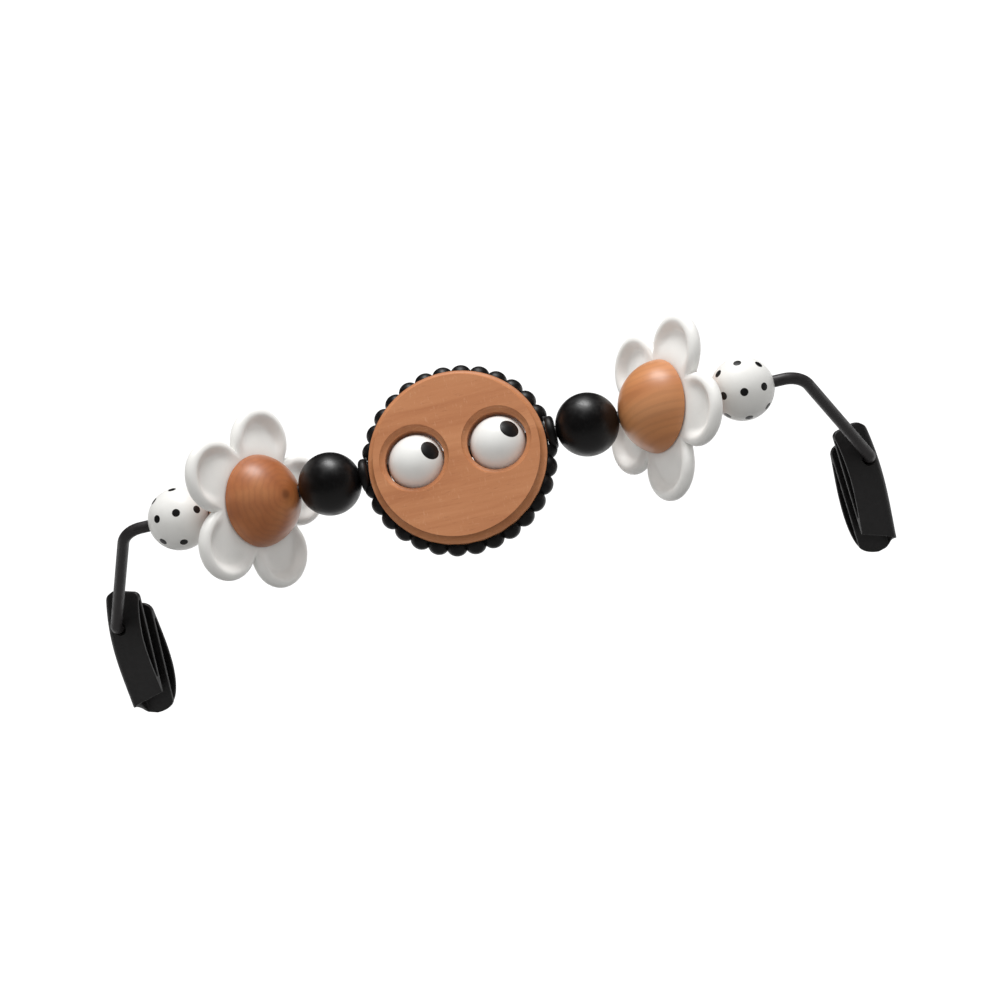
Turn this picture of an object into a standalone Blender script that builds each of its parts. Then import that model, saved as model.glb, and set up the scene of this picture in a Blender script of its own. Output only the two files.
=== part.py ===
"""Bouncer toy bar: a bent steel rod on two slotted plastic clips. Wooden beads, two flowers and a face
disc with rolling eyes are threaded on its straight bar, and each of them turns on it.

The origin is midway between the slots of the two clips, which hold the bar up. +X runs along the bar to
the viewer's right, -Y is towards the viewer, and +Z is up. Lengths are in metres and angles in degrees.
"""

from math import acos, asin, atan2, cos, degrees, dist, hypot, log, pi, radians, sin, sqrt, tan

import bmesh
import bpy
from mathutils import Matrix, Vector

# Driving dimensions
BAR_HEIGHT = 0.0814
BAR_FORWARD = 0.0450
CORNER_HALF_SPAN = 0.1742
CLIP_HALF_SPAN = 0.1973
ROD_RADIUS = 0.0030

# Clearances
TOUCH_GAP = 0.0003
BORE_CLEARANCE = 0.0003
STACK_GAP = 0.0005
CUT_OVERRUN = 0.0030
MERGE_DISTANCE = 0.000003
SHARP_ANGLE = 35.0

# Rod
CORNER_RADIUS = 0.0130
HOOK_RADIUS = 0.0060
HOOK_SEAT = 0.0018
HOOK_ROUNDS = 8
ROD_SIDES_RESOLUTION = 5
CORNER_STEPS = 9
HOOK_STEPS = 8

# Clip: w runs across it from the open inner side, n from front to back, l up along the slot
CLIP_WIDTH = 0.0209
CLIP_INNER = -0.0101
CLIP_OUTER = CLIP_INNER + CLIP_WIDTH
CLIP_TOE = 23.0
CLIP_LEAN = 5.5
SLOT_GAP = 0.0061
SLOT_DEPTH = 0.0168
CLIP_WALL = 0.0016
CLIP_SKIN = 0.0014
FRONT_TOP = 0.0356
FRONT_LOW = -0.0244
BACK_TOP = 0.0250
BACK_LOW = -0.0340
FRONT_BULGE = 0.0058
BACK_BULGE = 0.0070
FRONT_PEAK_SHARE = 0.598
FRONT_POWER = 0.8
BACK_PEAK_SHARE = 0.303
FRONT_LOW_SLANT = 28.5
FRONT_LOW_TURN_SHARE = 0.65
FRONT_LOW_DROP = 0.0095
BACK_LOW_BULGE = 0.0049
BACK_LOW_SINK = 0.0062
LOW_CORNER_TOP = -0.0295
LOW_CORNER_WIDTH = 0.0120
LOW_CORNER_HEIGHT = 0.0132
LOW_EDGE_STEPS = 12
TOP_OUTER_ROUND = 0.0080
TOP_INNER_ROUND = 0.0030
OUTER_EDGE_ROUND = 0.0040
OUTER_EDGE_STEPS = 4
BACK_CORNER_ROUND = 0.0045
ARCH_STEPS = 16
CORNER_ARC_STEPS = 5
HOLE_INSET = 0.0073
HOLE_BELOW_TOP = 0.01885
HOLE_CLEARANCE = 0.0007
HOLE_FLARE = 0.0008
HOLE_FLOOR = 0.0015
HOLE_STEPS = 20
POCKET_WALL = 0.0018

# Beads, threaded outwards from the face disc
BEAD_RADIUS = 0.0160
DOTTED_RADIUS = 0.0160
COLLAR_RADIUS = 0.0086
COLLAR_LENGTH = 0.0044
COLLAR_ROUND = 0.0020
COLLAR_ARC_STEPS = 3
BALL_STEPS = 24
BALL_ARC_STEPS = 11

# Flower: a ball cut in two across its own axis, a little wider than it is long, with the petals held
# between the two domes
FLOWER_RADIUS = 0.0232
FLOWER_WIDE_RADIUS = 0.0238
FLOWER_AXIS_TO_BAR = 37.3
FLOWER_RISE_LEFT = 11.2
FLOWER_RISE_RIGHT = 39.2
PETAL_TURN_LEFT = -22.8
PETAL_TURN_RIGHT = 27.5
PETAL_COUNT = 5
PETAL_REACH = 0.0297
PETAL_RADIUS = 0.0181
PETAL_HALF_THICKNESS = 0.0034
PETAL_RIM = 0.0034
PETAL_BOWL_DEPTH = 0.0036
PETAL_BOWL_RUN = 0.0055
PETAL_BASE_RUN = 0.0140
PETAL_FORWARD = 0.0010
PETAL_FORWARD_RUN = 0.0120
PETAL_RUN_GAP = 0.0004
PETAL_SIDE_STEPS = 8
# Where a petal's section has points, from the hub to the edge: closer together towards the round rim
PETAL_SECTION_SHARES = (0.0, 0.3, 0.42, 0.53, 0.64, 0.75, 0.85, 0.92, 0.96, 0.985)
HUB_RADIUS = 0.0120
HUB_SEAT_DEPTH = 0.0052
DOME_EDGE_ROUND = 0.0006
DOME_STEPS = 32
DOME_ARC_STEPS = 7

# Face disc: z is its own axis, and its centre hangs below the rod
DISC_FACE_RISE = 37.0
DISC_DROP = 0.0029
DISC_RADIUS = 0.0450
DISC_COVE_WIDTH = 0.0030
DISC_COVE_STEPS = 3
DISC_HALF_THICKNESS = 0.0100
DISC_SIDE_HEIGHT = 0.0018
DISC_STEPS = 54
RING_HALF_THICKNESS = 0.0040
RING_SEAT_WIDTH = 0.0060
RING_INNER_RADIUS = DISC_RADIUS - RING_SEAT_WIDTH
RING_EDGE_RADIUS = DISC_RADIUS + TOUCH_GAP
LOBE_COUNT = 30
LOBE_INSET = 0.0007
LOBE_CENTRE_RADIUS = DISC_RADIUS - LOBE_INSET
LOBE_RADIUS = 0.0054
LOBE_STEPS = 4
LOBE_ARC_STEPS = 5
EYE_SPAN_SHARE = 0.4667
EYE_SHARE = 0.3222
EYE_HALF_SPAN = DISC_RADIUS * EYE_SPAN_SHARE
EYE_RADIUS = DISC_RADIUS * EYE_SHARE
EYE_CLEARANCE = 0.0005
EYE_COVE_WIDTH = 0.0026
EYE_COVE_DEPTH = 0.0026
EYE_COVE_STEPS = 3
EYE_HOLE_STEPS = 32
DOWEL_RADIUS = 0.0030
DOWEL_HALF_LENGTH = 0.0060
DOWEL_CIRCLE_SHARE = 0.6
DOWEL_CIRCLE_RADIUS = DISC_RADIUS * DOWEL_CIRCLE_SHARE
DOWEL_ANGLES = {"top": 90, "left": 240, "right": 300}
DOWEL_STEPS = 16

BORE_RADIUS = ROD_RADIUS + BORE_CLEARANCE
BAR_CENTRE = Vector((0, -BAR_FORWARD, BAR_HEIGHT))
# Lays a piece that was turned round Z along the bar
ALONG_BAR = Matrix.Rotation(radians(90), 4, "Y")
SIDES = {"left": -1, "right": 1}
FLOWER_RISES = {"left": FLOWER_RISE_LEFT, "right": FLOWER_RISE_RIGHT}
PETAL_TURNS = {"left": PETAL_TURN_LEFT, "right": PETAL_TURN_RIGHT}


def half_chord(radius, offset):
    """How far a circle reaches along a line that passes its centre at this offset."""
    return sqrt(radius**2 - offset**2)


# Places of the threaded pieces along the bar, each one gap from the last
COLLAR_START = half_chord(RING_EDGE_RADIUS, DISC_DROP) + STACK_GAP
BEAD_X = COLLAR_START + COLLAR_LENGTH + STACK_GAP + half_chord(BEAD_RADIUS, BORE_RADIUS)
FLOWER_ALONG_BAR = 1 / sqrt(
    (cos(radians(FLOWER_AXIS_TO_BAR)) / FLOWER_RADIUS) ** 2
    + (sin(radians(FLOWER_AXIS_TO_BAR)) / FLOWER_WIDE_RADIUS) ** 2
)
FLOWER_HALF_CHORD = half_chord(FLOWER_ALONG_BAR, BORE_RADIUS)
FLOWER_X = BEAD_X + half_chord(BEAD_RADIUS, BORE_RADIUS) + STACK_GAP + FLOWER_HALF_CHORD
DOTTED_X = FLOWER_X + FLOWER_HALF_CHORD + STACK_GAP + half_chord(DOTTED_RADIUS, BORE_RADIUS)
DOME_FACE = PETAL_HALF_THICKNESS + PETAL_RUN_GAP


def ease(distance, run):
    """Grows smoothly from 0 to 1 over the run."""
    share = min(1.0, max(0.0, distance / run))
    return (1 - cos(pi * share)) / 2


# Materials
def plain_material(name, colour, roughness):
    material = bpy.data.materials.new(name)
    material.use_nodes = True
    shader = material.node_tree.nodes["Principled BSDF"]
    shader.inputs["Base Color"].default_value = (*colour, 1)
    shader.inputs["Roughness"].default_value = roughness
    shader.inputs["Metallic"].default_value = 0
    material.diffuse_color = (*colour, 1)
    return material


def make_materials():
    return {
        "black_coat": plain_material("black_coat", (0.012, 0.012, 0.013), 0.40),
        "black_plastic": plain_material("black_plastic", (0.014, 0.014, 0.015), 0.45),
        "black_paint": plain_material("black_paint", (0.010, 0.010, 0.011), 0.30),
        "white_paint": plain_material("white_paint", (0.84, 0.84, 0.82), 0.35),
        "white_plastic": plain_material("white_plastic", (0.82, 0.82, 0.80), 0.40),
        "stained_wood": plain_material("stained_wood", (0.53, 0.23, 0.11), 0.50),
        "maple_wood": plain_material("maple_wood", (0.62, 0.30, 0.14), 0.35),
        "beech_wood": plain_material("beech_wood", (0.60, 0.38, 0.22), 0.60),
    }


# Building blocks
def arc(centre, radius, start, end, steps):
    """Points of an arc in a plane, with angles in degrees."""
    angles = [radians(start + (end - start) * i / steps) for i in range(steps + 1)]
    return [(centre[0] + radius * cos(a), centre[1] + radius * sin(a)) for a in angles]


def finish_mesh(name, bm, material, body):
    """Turns the bmesh into an object that hangs on the body's empty."""
    bmesh.ops.recalc_face_normals(bm, faces=bm.faces)
    mesh = bpy.data.meshes.new(name)
    bm.to_mesh(mesh)
    bm.free()
    mesh.shade_smooth()
    mesh.set_sharp_from_angle(angle=radians(SHARP_ANGLE))
    made = bpy.data.objects.new(name, mesh)
    bpy.context.collection.objects.link(made)
    if material:
        mesh.materials.append(material)
    made.parent = body
    return made


def join_rings(bm, rings, closed=True):
    """Faces between each ring of points and the next, and between the last and the first where closed."""
    pairs = list(zip(rings, rings[1:]))
    if closed:
        pairs.append((rings[-1], rings[0]))
    for ring, following in pairs:
        for j in range(len(ring)):
            k = (j + 1) % len(ring)
            bm.faces.new((ring[j], ring[k], following[k], following[j]))


def body_frame(name, location, rotation=(0, 0, 0)):
    """An empty on the body's joint axis. Its pieces are modelled around it."""
    empty = bpy.data.objects.new(name, None)
    bpy.context.collection.objects.link(empty)
    empty.empty_display_size = BEAD_RADIUS
    empty.location = location
    empty.rotation_euler = [radians(angle) for angle in rotation]
    return empty


def turned(name, profile, steps, material, body, matrix=None):
    """A closed outline of (radius, height) points spun round the local Z axis, then moved by the matrix."""
    bm = bmesh.new()
    points = [bm.verts.new((radius, 0, height)) for radius, height in profile]
    for first, second in zip(points, points[1:] + points[:1]):
        if first.co.x or second.co.x:
            bm.edges.new((first, second))
    bmesh.ops.spin(
        bm,
        geom=bm.verts[:] + bm.edges[:],
        cent=(0, 0, 0),
        axis=(0, 0, 1),
        angle=2 * pi,
        steps=steps,
        use_merge=True,
    )
    bmesh.ops.remove_doubles(bm, verts=bm.verts, dist=MERGE_DISTANCE)
    if matrix:
        bmesh.ops.transform(bm, matrix=matrix, verts=bm.verts)
    return finish_mesh(name, bm, material, body)


def cylinder_outline(radius, half_length):
    """Half a plain cylinder's section, as (radius, height) points."""
    return [(0, -half_length), (radius, -half_length), (radius, half_length), (0, half_length)]


def loft(name, outlines, body, material=None):
    """A solid through outlines of (x, y, z) points, closed by a face at each end."""
    bm = bmesh.new()
    rings = [[bm.verts.new(place) for place in outline] for outline in outlines]
    join_rings(bm, rings, closed=False)
    bm.faces.new(rings[0])
    bm.faces.new(rings[-1])
    return finish_mesh(name, bm, material, body)


def prism(name, outline, start, end, body, side):
    """An outline of (n, l) points carried along w from start to end."""
    return loft(name, [[(side * w, n, l) for n, l in outline] for w in (start, end)], body)


def front_prism(name, outline, start, end, body, side):
    """An outline of (w, l) points carried along n from start to end."""
    return loft(name, [[(side * w, n, l) for w, l in outline] for n in (start, end)], body)


def combine(target, tool, operation="DIFFERENCE"):
    """Cuts, joins or keeps the overlap with a hidden helper."""
    modifier = target.modifiers.new(tool.name, "BOOLEAN")
    modifier.operation = operation
    modifier.solver = "EXACT"
    modifier.object = tool
    tool.hide_render = True
    tool.display_type = "WIRE"


def rod_bore(name, body, reach):
    """A cutter round the bar's axis, which is the body's own X axis."""
    return turned(name, cylinder_outline(BORE_RADIUS, reach), BALL_STEPS, None, body, ALONG_BAR)


# Clip
def clip_axes(side):
    """The clip's w, n and l directions in the part's frame."""
    turn = Matrix.Rotation(radians(side * CLIP_TOE), 3, "Z") @ Matrix.Rotation(
        radians(-side * CLIP_LEAN), 3, "Y"
    )
    return turn @ Vector((side, 0, 0)), turn @ Vector((0, 1, 0)), turn @ Vector((0, 0, 1))


def hump(share, peak_share, power=1.0):
    """A smooth hump, 0 at both ends and 1 at the peak's share of the way. A power below 1 fills it out."""
    if not 0 < share < 1:
        return 0.0
    return sin(pi * share ** (log(0.5) / log(peak_share))) ** power


def front_arch(l, low=FRONT_LOW):
    """How far the front limb's arch stands off its wall at this height, with its lower end at low."""
    return FRONT_BULGE * hump((l - low) / (FRONT_TOP - low), FRONT_PEAK_SHARE, FRONT_POWER)


def back_arch(l, low=BACK_LOW):
    """The same for the back limb."""
    return BACK_BULGE * hump((l - low) / (BACK_TOP - low), BACK_PEAK_SHARE)


def front_low(share):
    """The front limb's lower end at this share of the way across: it sinks outwards, and turns down at
    the outer side."""
    sink = tan(radians(FRONT_LOW_SLANT)) * CLIP_WIDTH * share
    return FRONT_LOW - sink - FRONT_LOW_DROP * ease(share - FRONT_LOW_TURN_SHARE, 1 - FRONT_LOW_TURN_SHARE)


def back_low(share):
    """The back limb's lower end, which curves round below and sinks outwards too."""
    return BACK_LOW - BACK_LOW_BULGE * 2 * sqrt(share * (1 - share)) - BACK_LOW_SINK * share


def heights(start, end):
    return [start + (end - start) * i / ARCH_STEPS for i in range(ARCH_STEPS + 1)]


def clip_side_outline(share, inset):
    """The clip's section from front to back, at this share of the way across, thinned by the inset."""
    face = SLOT_GAP / 2 + CLIP_WALL - inset
    slot_half = min(SLOT_GAP / 2, face - TOUCH_GAP)
    front_end = front_low(share)
    back_end = back_low(share)
    front = [(-face - front_arch(l, front_end), l) for l in heights(front_end, FRONT_TOP)]
    back = [(face + back_arch(l, back_end), l) for l in heights(BACK_TOP, back_end)]
    top = [(-slot_half, FRONT_TOP), (slot_half, BACK_TOP)]
    under = [(face, back_end - CUT_OVERRUN), (-face, front_end - CUT_OVERRUN)]
    return front + top + back + under


def clip_body(name, body, side, material):
    """The uncut clip: its side outline carried across, with the edges of the outer side rounded."""
    rounding = CLIP_OUTER - OUTER_EDGE_ROUND
    flat_width = rounding - CLIP_INNER
    flat = [(CLIP_INNER + flat_width * i / OUTER_EDGE_STEPS, 0.0) for i in range(OUTER_EDGE_STEPS)]
    turns = [radians(90 * i / OUTER_EDGE_STEPS) for i in range(OUTER_EDGE_STEPS + 1)]
    round_edge = [
        (rounding + OUTER_EDGE_ROUND * sin(turn), OUTER_EDGE_ROUND * (1 - cos(turn))) for turn in turns
    ]
    outlines = []
    for w, inset in flat + round_edge:
        share = min(1.0, (w - CLIP_INNER) / CLIP_WIDTH)
        outline = clip_side_outline(share, inset)
        outlines.append([(side * w, n, l) for n, l in outline])
    return loft(name, outlines, body, material)


def clip_front_outline(low):
    """The clip seen from the front, with its two upper corners rounded."""
    top_outer = (CLIP_OUTER - TOP_OUTER_ROUND, FRONT_TOP - TOP_OUTER_ROUND)
    top_inner = (CLIP_INNER + TOP_INNER_ROUND, FRONT_TOP - TOP_INNER_ROUND)
    outline = [(CLIP_INNER, low), (CLIP_OUTER, low)]
    outline += arc(top_outer, TOP_OUTER_ROUND, 0, 90, CORNER_ARC_STEPS)
    outline += arc(top_inner, TOP_INNER_ROUND, 90, 180, CORNER_ARC_STEPS)
    return outline


def low_corner(w):
    """The height of the rounded lower outer corner, at this place across the clip."""
    along = max(0.0, 1 + (w - CLIP_OUTER) / LOW_CORNER_WIDTH)
    return LOW_CORNER_TOP - LOW_CORNER_HEIGHT * sqrt(max(0.0, 1 - along**2))


def lower_edge_outline(limb, deep):
    """What lies below a limb's lower edge. Towards the outer side the front edge runs into the back one."""
    edge = []
    for step in range(LOW_EDGE_STEPS + 1):
        share = (1 - cos(pi * step / LOW_EDGE_STEPS)) / 2
        l = back_low(share)
        if limb == "front":
            l = max(l, front_low(share))
        w = CLIP_INNER + share * CLIP_WIDTH
        edge.append((w, max(l, low_corner(w))))
    start = (CLIP_INNER - CUT_OVERRUN, edge[0][1])
    end = (edge[-1][0] + CUT_OVERRUN, edge[-1][1])
    return [start] + edge + [end, (end[0], deep), (start[0], deep)]


def lower_edge_cutter(name, body, side, thick, deep):
    """Cuts under both limbs, and on a slope between them across the outer side."""
    half = SLOT_GAP / 2
    stations = ((-thick, "front"), (-half, "front"), (half, "back"), (thick, "back"))
    outlines = [[(side * w, n, l) for w, l in lower_edge_outline(limb, deep)] for n, limb in stations]
    return loft(name, outlines, body)


def hole_place():
    """The wire hole's place across and up the clip, and the arch's surface there."""
    w = CLIP_OUTER - HOLE_INSET
    l = FRONT_TOP - HOLE_BELOW_TOP
    return w, l, -SLOT_GAP / 2 - CLIP_WALL - front_arch(l)


def limb_pocket(name, body, side, limb, depth):
    """The cored-out hollow between a limb's wall and its arch, open on the clip's inner side."""
    start, end, arch, sign = (
        (FRONT_LOW, FRONT_TOP, front_arch, -1) if limb == "front" else (BACK_LOW, BACK_TOP, back_arch, 1)
    )
    face = sign * (SLOT_GAP / 2 + CLIP_WALL)
    hollow = [(l, arch(l) - CLIP_SKIN) for l in heights(start, end) if arch(l) > CLIP_SKIN + TOUCH_GAP]
    outline = [(face, hollow[0][0])]
    outline += [(face + sign * room, l) for l, room in hollow]
    outline += [(face, hollow[-1][0])]
    return prism(name, outline, CLIP_INNER - CUT_OVERRUN, CLIP_INNER + depth, body, side)


def make_clip(name, side, material):
    body = body_frame(
        f"frame_{name}",
        (side * CLIP_HALF_SPAN, 0, 0),
        (0, -side * CLIP_LEAN, side * CLIP_TOE),
    )
    thick = SLOT_GAP + 2 * CLIP_WALL + FRONT_BULGE + BACK_BULGE
    deep = BACK_LOW - BACK_LOW_BULGE - BACK_LOW_SINK - 2 * CUT_OVERRUN
    clip = clip_body(name, body, side, material)
    front_view = front_prism(f"{name}_front_view", clip_front_outline(deep), -thick, thick, body, side)
    combine(clip, front_view, "INTERSECT")
    combine(clip, lower_edge_cutter(f"{name}_under", body, side, thick, deep))

    slot_half = SLOT_GAP / 2
    slot = [
        (-slot_half, deep),
        (slot_half, deep),
        (slot_half, FRONT_TOP + CUT_OVERRUN),
        (-slot_half, FRONT_TOP + CUT_OVERRUN),
    ]
    slot_start = CLIP_INNER - CUT_OVERRUN
    combine(clip, prism(f"{name}_slot", slot, slot_start, CLIP_INNER + SLOT_DEPTH, body, side))

    hole_w, hole_l, surface = hole_place()
    hole_radius = ROD_RADIUS + HOLE_CLEARANCE
    front_depth = hole_w - hole_radius - POCKET_WALL - CLIP_INNER
    combine(clip, limb_pocket(f"{name}_front_pocket", body, side, "front", front_depth))
    combine(clip, limb_pocket(f"{name}_back_pocket", body, side, "back", SLOT_DEPTH))

    # The back limb's upper inner corner is rounded off
    corner = (CLIP_INNER + BACK_CORNER_ROUND, BACK_TOP - BACK_CORNER_ROUND)
    past = (CLIP_INNER - CUT_OVERRUN, BACK_TOP + CUT_OVERRUN)
    outline = arc(corner, BACK_CORNER_ROUND, 90, 180, CORNER_ARC_STEPS)
    outline += [(past[0], corner[1]), past, (corner[0], past[1])]
    rounding = front_prism(f"{name}_corner", outline, 0, thick, body, side)
    combine(clip, rounding)

    # The wire's hole runs straight back into the solid outer side
    into_clip = Matrix.Translation((side * hole_w, surface, hole_l)) @ Matrix.Rotation(radians(-90), 4, "X")
    depth = -slot_half - HOLE_FLOOR - surface
    flare = hole_radius + HOLE_FLARE + CUT_OVERRUN
    outline = [
        (0, -CUT_OVERRUN),
        (flare, -CUT_OVERRUN),
        (hole_radius, HOLE_FLARE),
        (hole_radius, depth),
        (0, depth),
    ]
    combine(clip, turned(f"{name}_hole", outline, HOLE_STEPS, None, body, into_clip))
    return clip


# Rod
def rounded_corner(before, corner, after, radius, steps):
    """Points of the arc that rounds a corner of the rod's centre line."""
    back = (before - corner).normalized()
    ahead = (after - corner).normalized()
    half = back.angle(ahead) / 2
    centre = corner + (back + ahead).normalized() * radius / sin(half)
    start = corner + back * radius / tan(half) - centre
    axis = back.cross(ahead).normalized()
    sweep = -(pi - 2 * half)
    return [centre + Matrix.Rotation(sweep * i / steps, 3, axis) @ start for i in range(steps + 1)]


def rod_half(side):
    """The centre line from the middle of the bar to its end inside one clip."""
    w, n, l = clip_axes(side)
    hole_w, hole_l, surface = hole_place()
    mouth = Vector((side * CLIP_HALF_SPAN, 0, 0)) + w * hole_w + n * surface + l * hole_l
    end = mouth - n * (surface + SLOT_GAP / 2 + HOLE_FLOOR + TOUCH_GAP)
    corner = BAR_CENTRE + Vector((side * CORNER_HALF_SPAN, 0, 0))
    middle = BAR_CENTRE.copy()
    # The hook's corner lies in front of the hole, so that the wire enters square to the clip
    hook = mouth
    for _ in range(HOOK_ROUNDS):
        bend = (corner - hook).angle(n)
        hook = mouth - n * (HOOK_RADIUS * tan((pi - bend) / 2) - HOOK_SEAT)
    points = rounded_corner(middle, corner, hook, CORNER_RADIUS, CORNER_STEPS)
    points += rounded_corner(corner, hook, end, HOOK_RADIUS, HOOK_STEPS)
    return points + [end]


def make_rod(material):
    route = rod_half(-1)[::-1] + rod_half(1)
    curve = bpy.data.curves.new("rod", "CURVE")
    curve.dimensions = "3D"
    curve.bevel_depth = ROD_RADIUS
    curve.bevel_resolution = ROD_SIDES_RESOLUTION
    curve.use_fill_caps = True
    spline = curve.splines.new("POLY")
    spline.points.add(len(route) - 1)
    for point, place in zip(spline.points, route):
        point.co = (*place, 1)
    spline.use_smooth = True
    rod = bpy.data.objects.new("rod", curve)
    bpy.context.collection.objects.link(rod)
    curve.materials.append(material)
    return rod


# Beads and collars
def make_ball(name, radius, side, x, material):
    """A ball bored for the rod: an arc between the bore's two mouths, spun round the bar."""
    body = body_frame(f"axis_{name}", BAR_CENTRE + Vector((side * x, 0, 0)))
    mouth = 90 - degrees(asin(BORE_RADIUS / radius))
    outline = arc((0, 0), radius, -mouth, mouth, BALL_ARC_STEPS)
    return turned(name, outline, BALL_STEPS, material, body, ALONG_BAR)


def make_collar(name, side, material):
    x = COLLAR_START + COLLAR_LENGTH / 2
    body = body_frame(f"axis_{name}", BAR_CENTRE + Vector((side * x, 0, 0)))
    half = COLLAR_LENGTH / 2
    rim = COLLAR_RADIUS - COLLAR_ROUND
    outline = [(BORE_RADIUS, -half)]
    outline += arc((rim, -half + COLLAR_ROUND), COLLAR_ROUND, -90, 0, COLLAR_ARC_STEPS)
    outline += arc((rim, half - COLLAR_ROUND), COLLAR_ROUND, 0, 90, COLLAR_ARC_STEPS)
    outline += [(BORE_RADIUS, half)]
    return turned(name, outline, BALL_STEPS, material, body, ALONG_BAR)


# Flowers
def flower_tilt(side):
    """Turns a piece made round Z so that Z is the flower's axis, level with the bar."""
    angle = radians(FLOWER_AXIS_TO_BAR)
    axis = Vector((-side * cos(angle), -sin(angle), 0))
    up = Vector((0, 0, 1))
    columns = (up.cross(axis), up, axis)
    return Matrix(columns).transposed().to_4x4()


def dome_outline():
    """One dome's section: the ball beyond its flat face, with the hub's seat bored into it."""
    seat_radius = HUB_RADIUS + TOUCH_GAP
    seat_end = DOME_FACE + HUB_SEAT_DEPTH + TOUCH_GAP
    start = degrees(asin((DOME_FACE + DOME_EDGE_ROUND) / FLOWER_RADIUS))
    edge = FLOWER_WIDE_RADIUS * cos(radians(start)) - DOME_EDGE_ROUND
    outline = [(0, seat_end), (seat_radius, seat_end), (seat_radius, DOME_FACE), (edge, DOME_FACE)]
    for across, up in arc((0, 0), 1, start, 90, DOME_ARC_STEPS)[:-1]:
        outline.append((FLOWER_WIDE_RADIUS * across, FLOWER_RADIUS * up))
    return outline + [(0, FLOWER_RADIUS)]


def make_dome(name, side, facing, body, bore, material):
    """The front dome faces +Z of the flower, and the back dome is its mirror image."""
    turn = Matrix.Identity(4) if facing == "front" else Matrix.Rotation(pi, 4, "X")
    dome = turned(name, dome_outline(), DOME_STEPS, material, body, flower_tilt(side) @ turn)
    combine(dome, bore)
    return dome


def make_hub(name, side, body, bore, material):
    outline = cylinder_outline(HUB_RADIUS, DOME_FACE + HUB_SEAT_DEPTH)
    hub = turned(name, outline, DOME_STEPS, material, body, flower_tilt(side))
    combine(hub, bore)
    return hub


def petal_edge(turn):
    """The petals' outer radius in this direction, which is measured from the nearest petal's middle."""
    aside = PETAL_REACH * sin(turn)
    return PETAL_REACH * cos(turn) + half_chord(PETAL_RADIUS, aside)


def petal_inset(turn, radius):
    """How far in from the petals' edge a place is. Near the hub, the corner between two petals is nearest."""
    corner_turn = pi / PETAL_COUNT
    corner_radius = petal_edge(corner_turn)
    corner = (corner_radius * cos(corner_turn) - PETAL_REACH, corner_radius * sin(corner_turn))
    place = (radius * cos(turn) - PETAL_REACH, radius * sin(abs(turn)))
    if atan2(place[1], place[0]) > atan2(corner[1], corner[0]):
        return dist(place, corner)
    return PETAL_RADIUS - hypot(*place)


def rim_height(inset):
    """Height of the petals' round rim at this distance in from their edge."""
    if inset < PETAL_RIM:
        return PETAL_HALF_THICKNESS * sqrt(max(0.0, 1 - (1 - inset / PETAL_RIM) ** 2))
    return PETAL_HALF_THICKNESS


def bowl_depth(inset, radius):
    """How deep the petals' bowl is at this distance in from their edge and this radius of the flower."""
    from_rim = ease(inset - PETAL_RIM, PETAL_BOWL_RUN)
    from_dome = ease(radius - FLOWER_WIDE_RADIUS, PETAL_BASE_RUN)
    return PETAL_BOWL_DEPTH * from_rim * from_dome


def petal_lift(radius):
    """How far forward the petals curve at this radius of the flower."""
    return PETAL_FORWARD * ease(radius - FLOWER_WIDE_RADIUS, PETAL_FORWARD_RUN)


def petal_section(turn):
    """Points (radius, height) of the petal ring's closed section in one direction."""
    inner = HUB_RADIUS + PETAL_RUN_GAP
    edge = petal_edge(turn)
    front = []
    back = []
    for share in PETAL_SECTION_SHARES:
        radius = inner + (edge - inner) * share
        inset = petal_inset(turn, radius)
        half = rim_height(inset)
        middle = petal_lift(radius)
        front.append((radius, middle + half - bowl_depth(inset, radius)))
        back.append((radius, middle - half))
    return front + [(edge, petal_lift(edge))] + back[::-1]


def make_petals(name, side, turned_by, body, material):
    """A ring of round dished petals, built as sections round the flower's axis."""
    bm = bmesh.new()
    pitch = 2 * pi / PETAL_COUNT
    count = PETAL_COUNT * PETAL_SIDE_STEPS
    rings = []
    for i in range(count):
        angle = 2 * pi * i / count
        from_middle = (angle + pitch / 2) % pitch - pitch / 2
        direction = angle + radians(90 + turned_by)
        section = petal_section(from_middle)
        rings.append(
            [bm.verts.new((r * cos(direction), r * sin(direction), height)) for r, height in section]
        )
    join_rings(bm, rings)
    bmesh.ops.transform(bm, matrix=flower_tilt(side), verts=bm.verts)
    return finish_mesh(name, bm, material, body)


def make_flower(place, materials):
    side = SIDES[place]
    body = body_frame(
        f"axis_flower_{place}",
        BAR_CENTRE + Vector((side * FLOWER_X, 0, 0)),
        (-FLOWER_RISES[place], 0, 0),
    )
    bore = rod_bore(f"flower_bore_{place}", body, FLOWER_RADIUS + CUT_OVERRUN)
    make_dome(f"flower_front_{place}", side, "front", body, bore, materials["maple_wood"])
    make_dome(f"flower_back_{place}", side, "back", body, bore, materials["maple_wood"])
    make_hub(f"flower_hub_{place}", side, body, bore, materials["beech_wood"])
    make_petals(f"petals_{place}", side, PETAL_TURNS[place], body, materials["white_plastic"])


# Face disc
def eye_hole(name, side, body):
    """A cutter through the disc, with a cove at each face: flat beside the eye and steep at its rim."""
    radius = EYE_RADIUS + EYE_CLEARANCE
    past = DISC_HALF_THICKNESS + CUT_OVERRUN
    cove = []
    for step in range(EYE_COVE_STEPS + 1):
        turn = radians(90 * step / EYE_COVE_STEPS)
        height = DISC_HALF_THICKNESS + TOUCH_GAP - EYE_COVE_DEPTH * cos(turn)
        cove.append((radius + EYE_COVE_WIDTH * sin(turn), height))
    cove += [(radius + EYE_COVE_WIDTH, past), (0, past)]
    outline = [(across, -height) for across, height in reversed(cove)] + cove
    place = Matrix.Translation((side * EYE_HALF_SPAN, 0, 0))
    return turned(name, outline, EYE_HOLE_STEPS, None, body, place)


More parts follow.
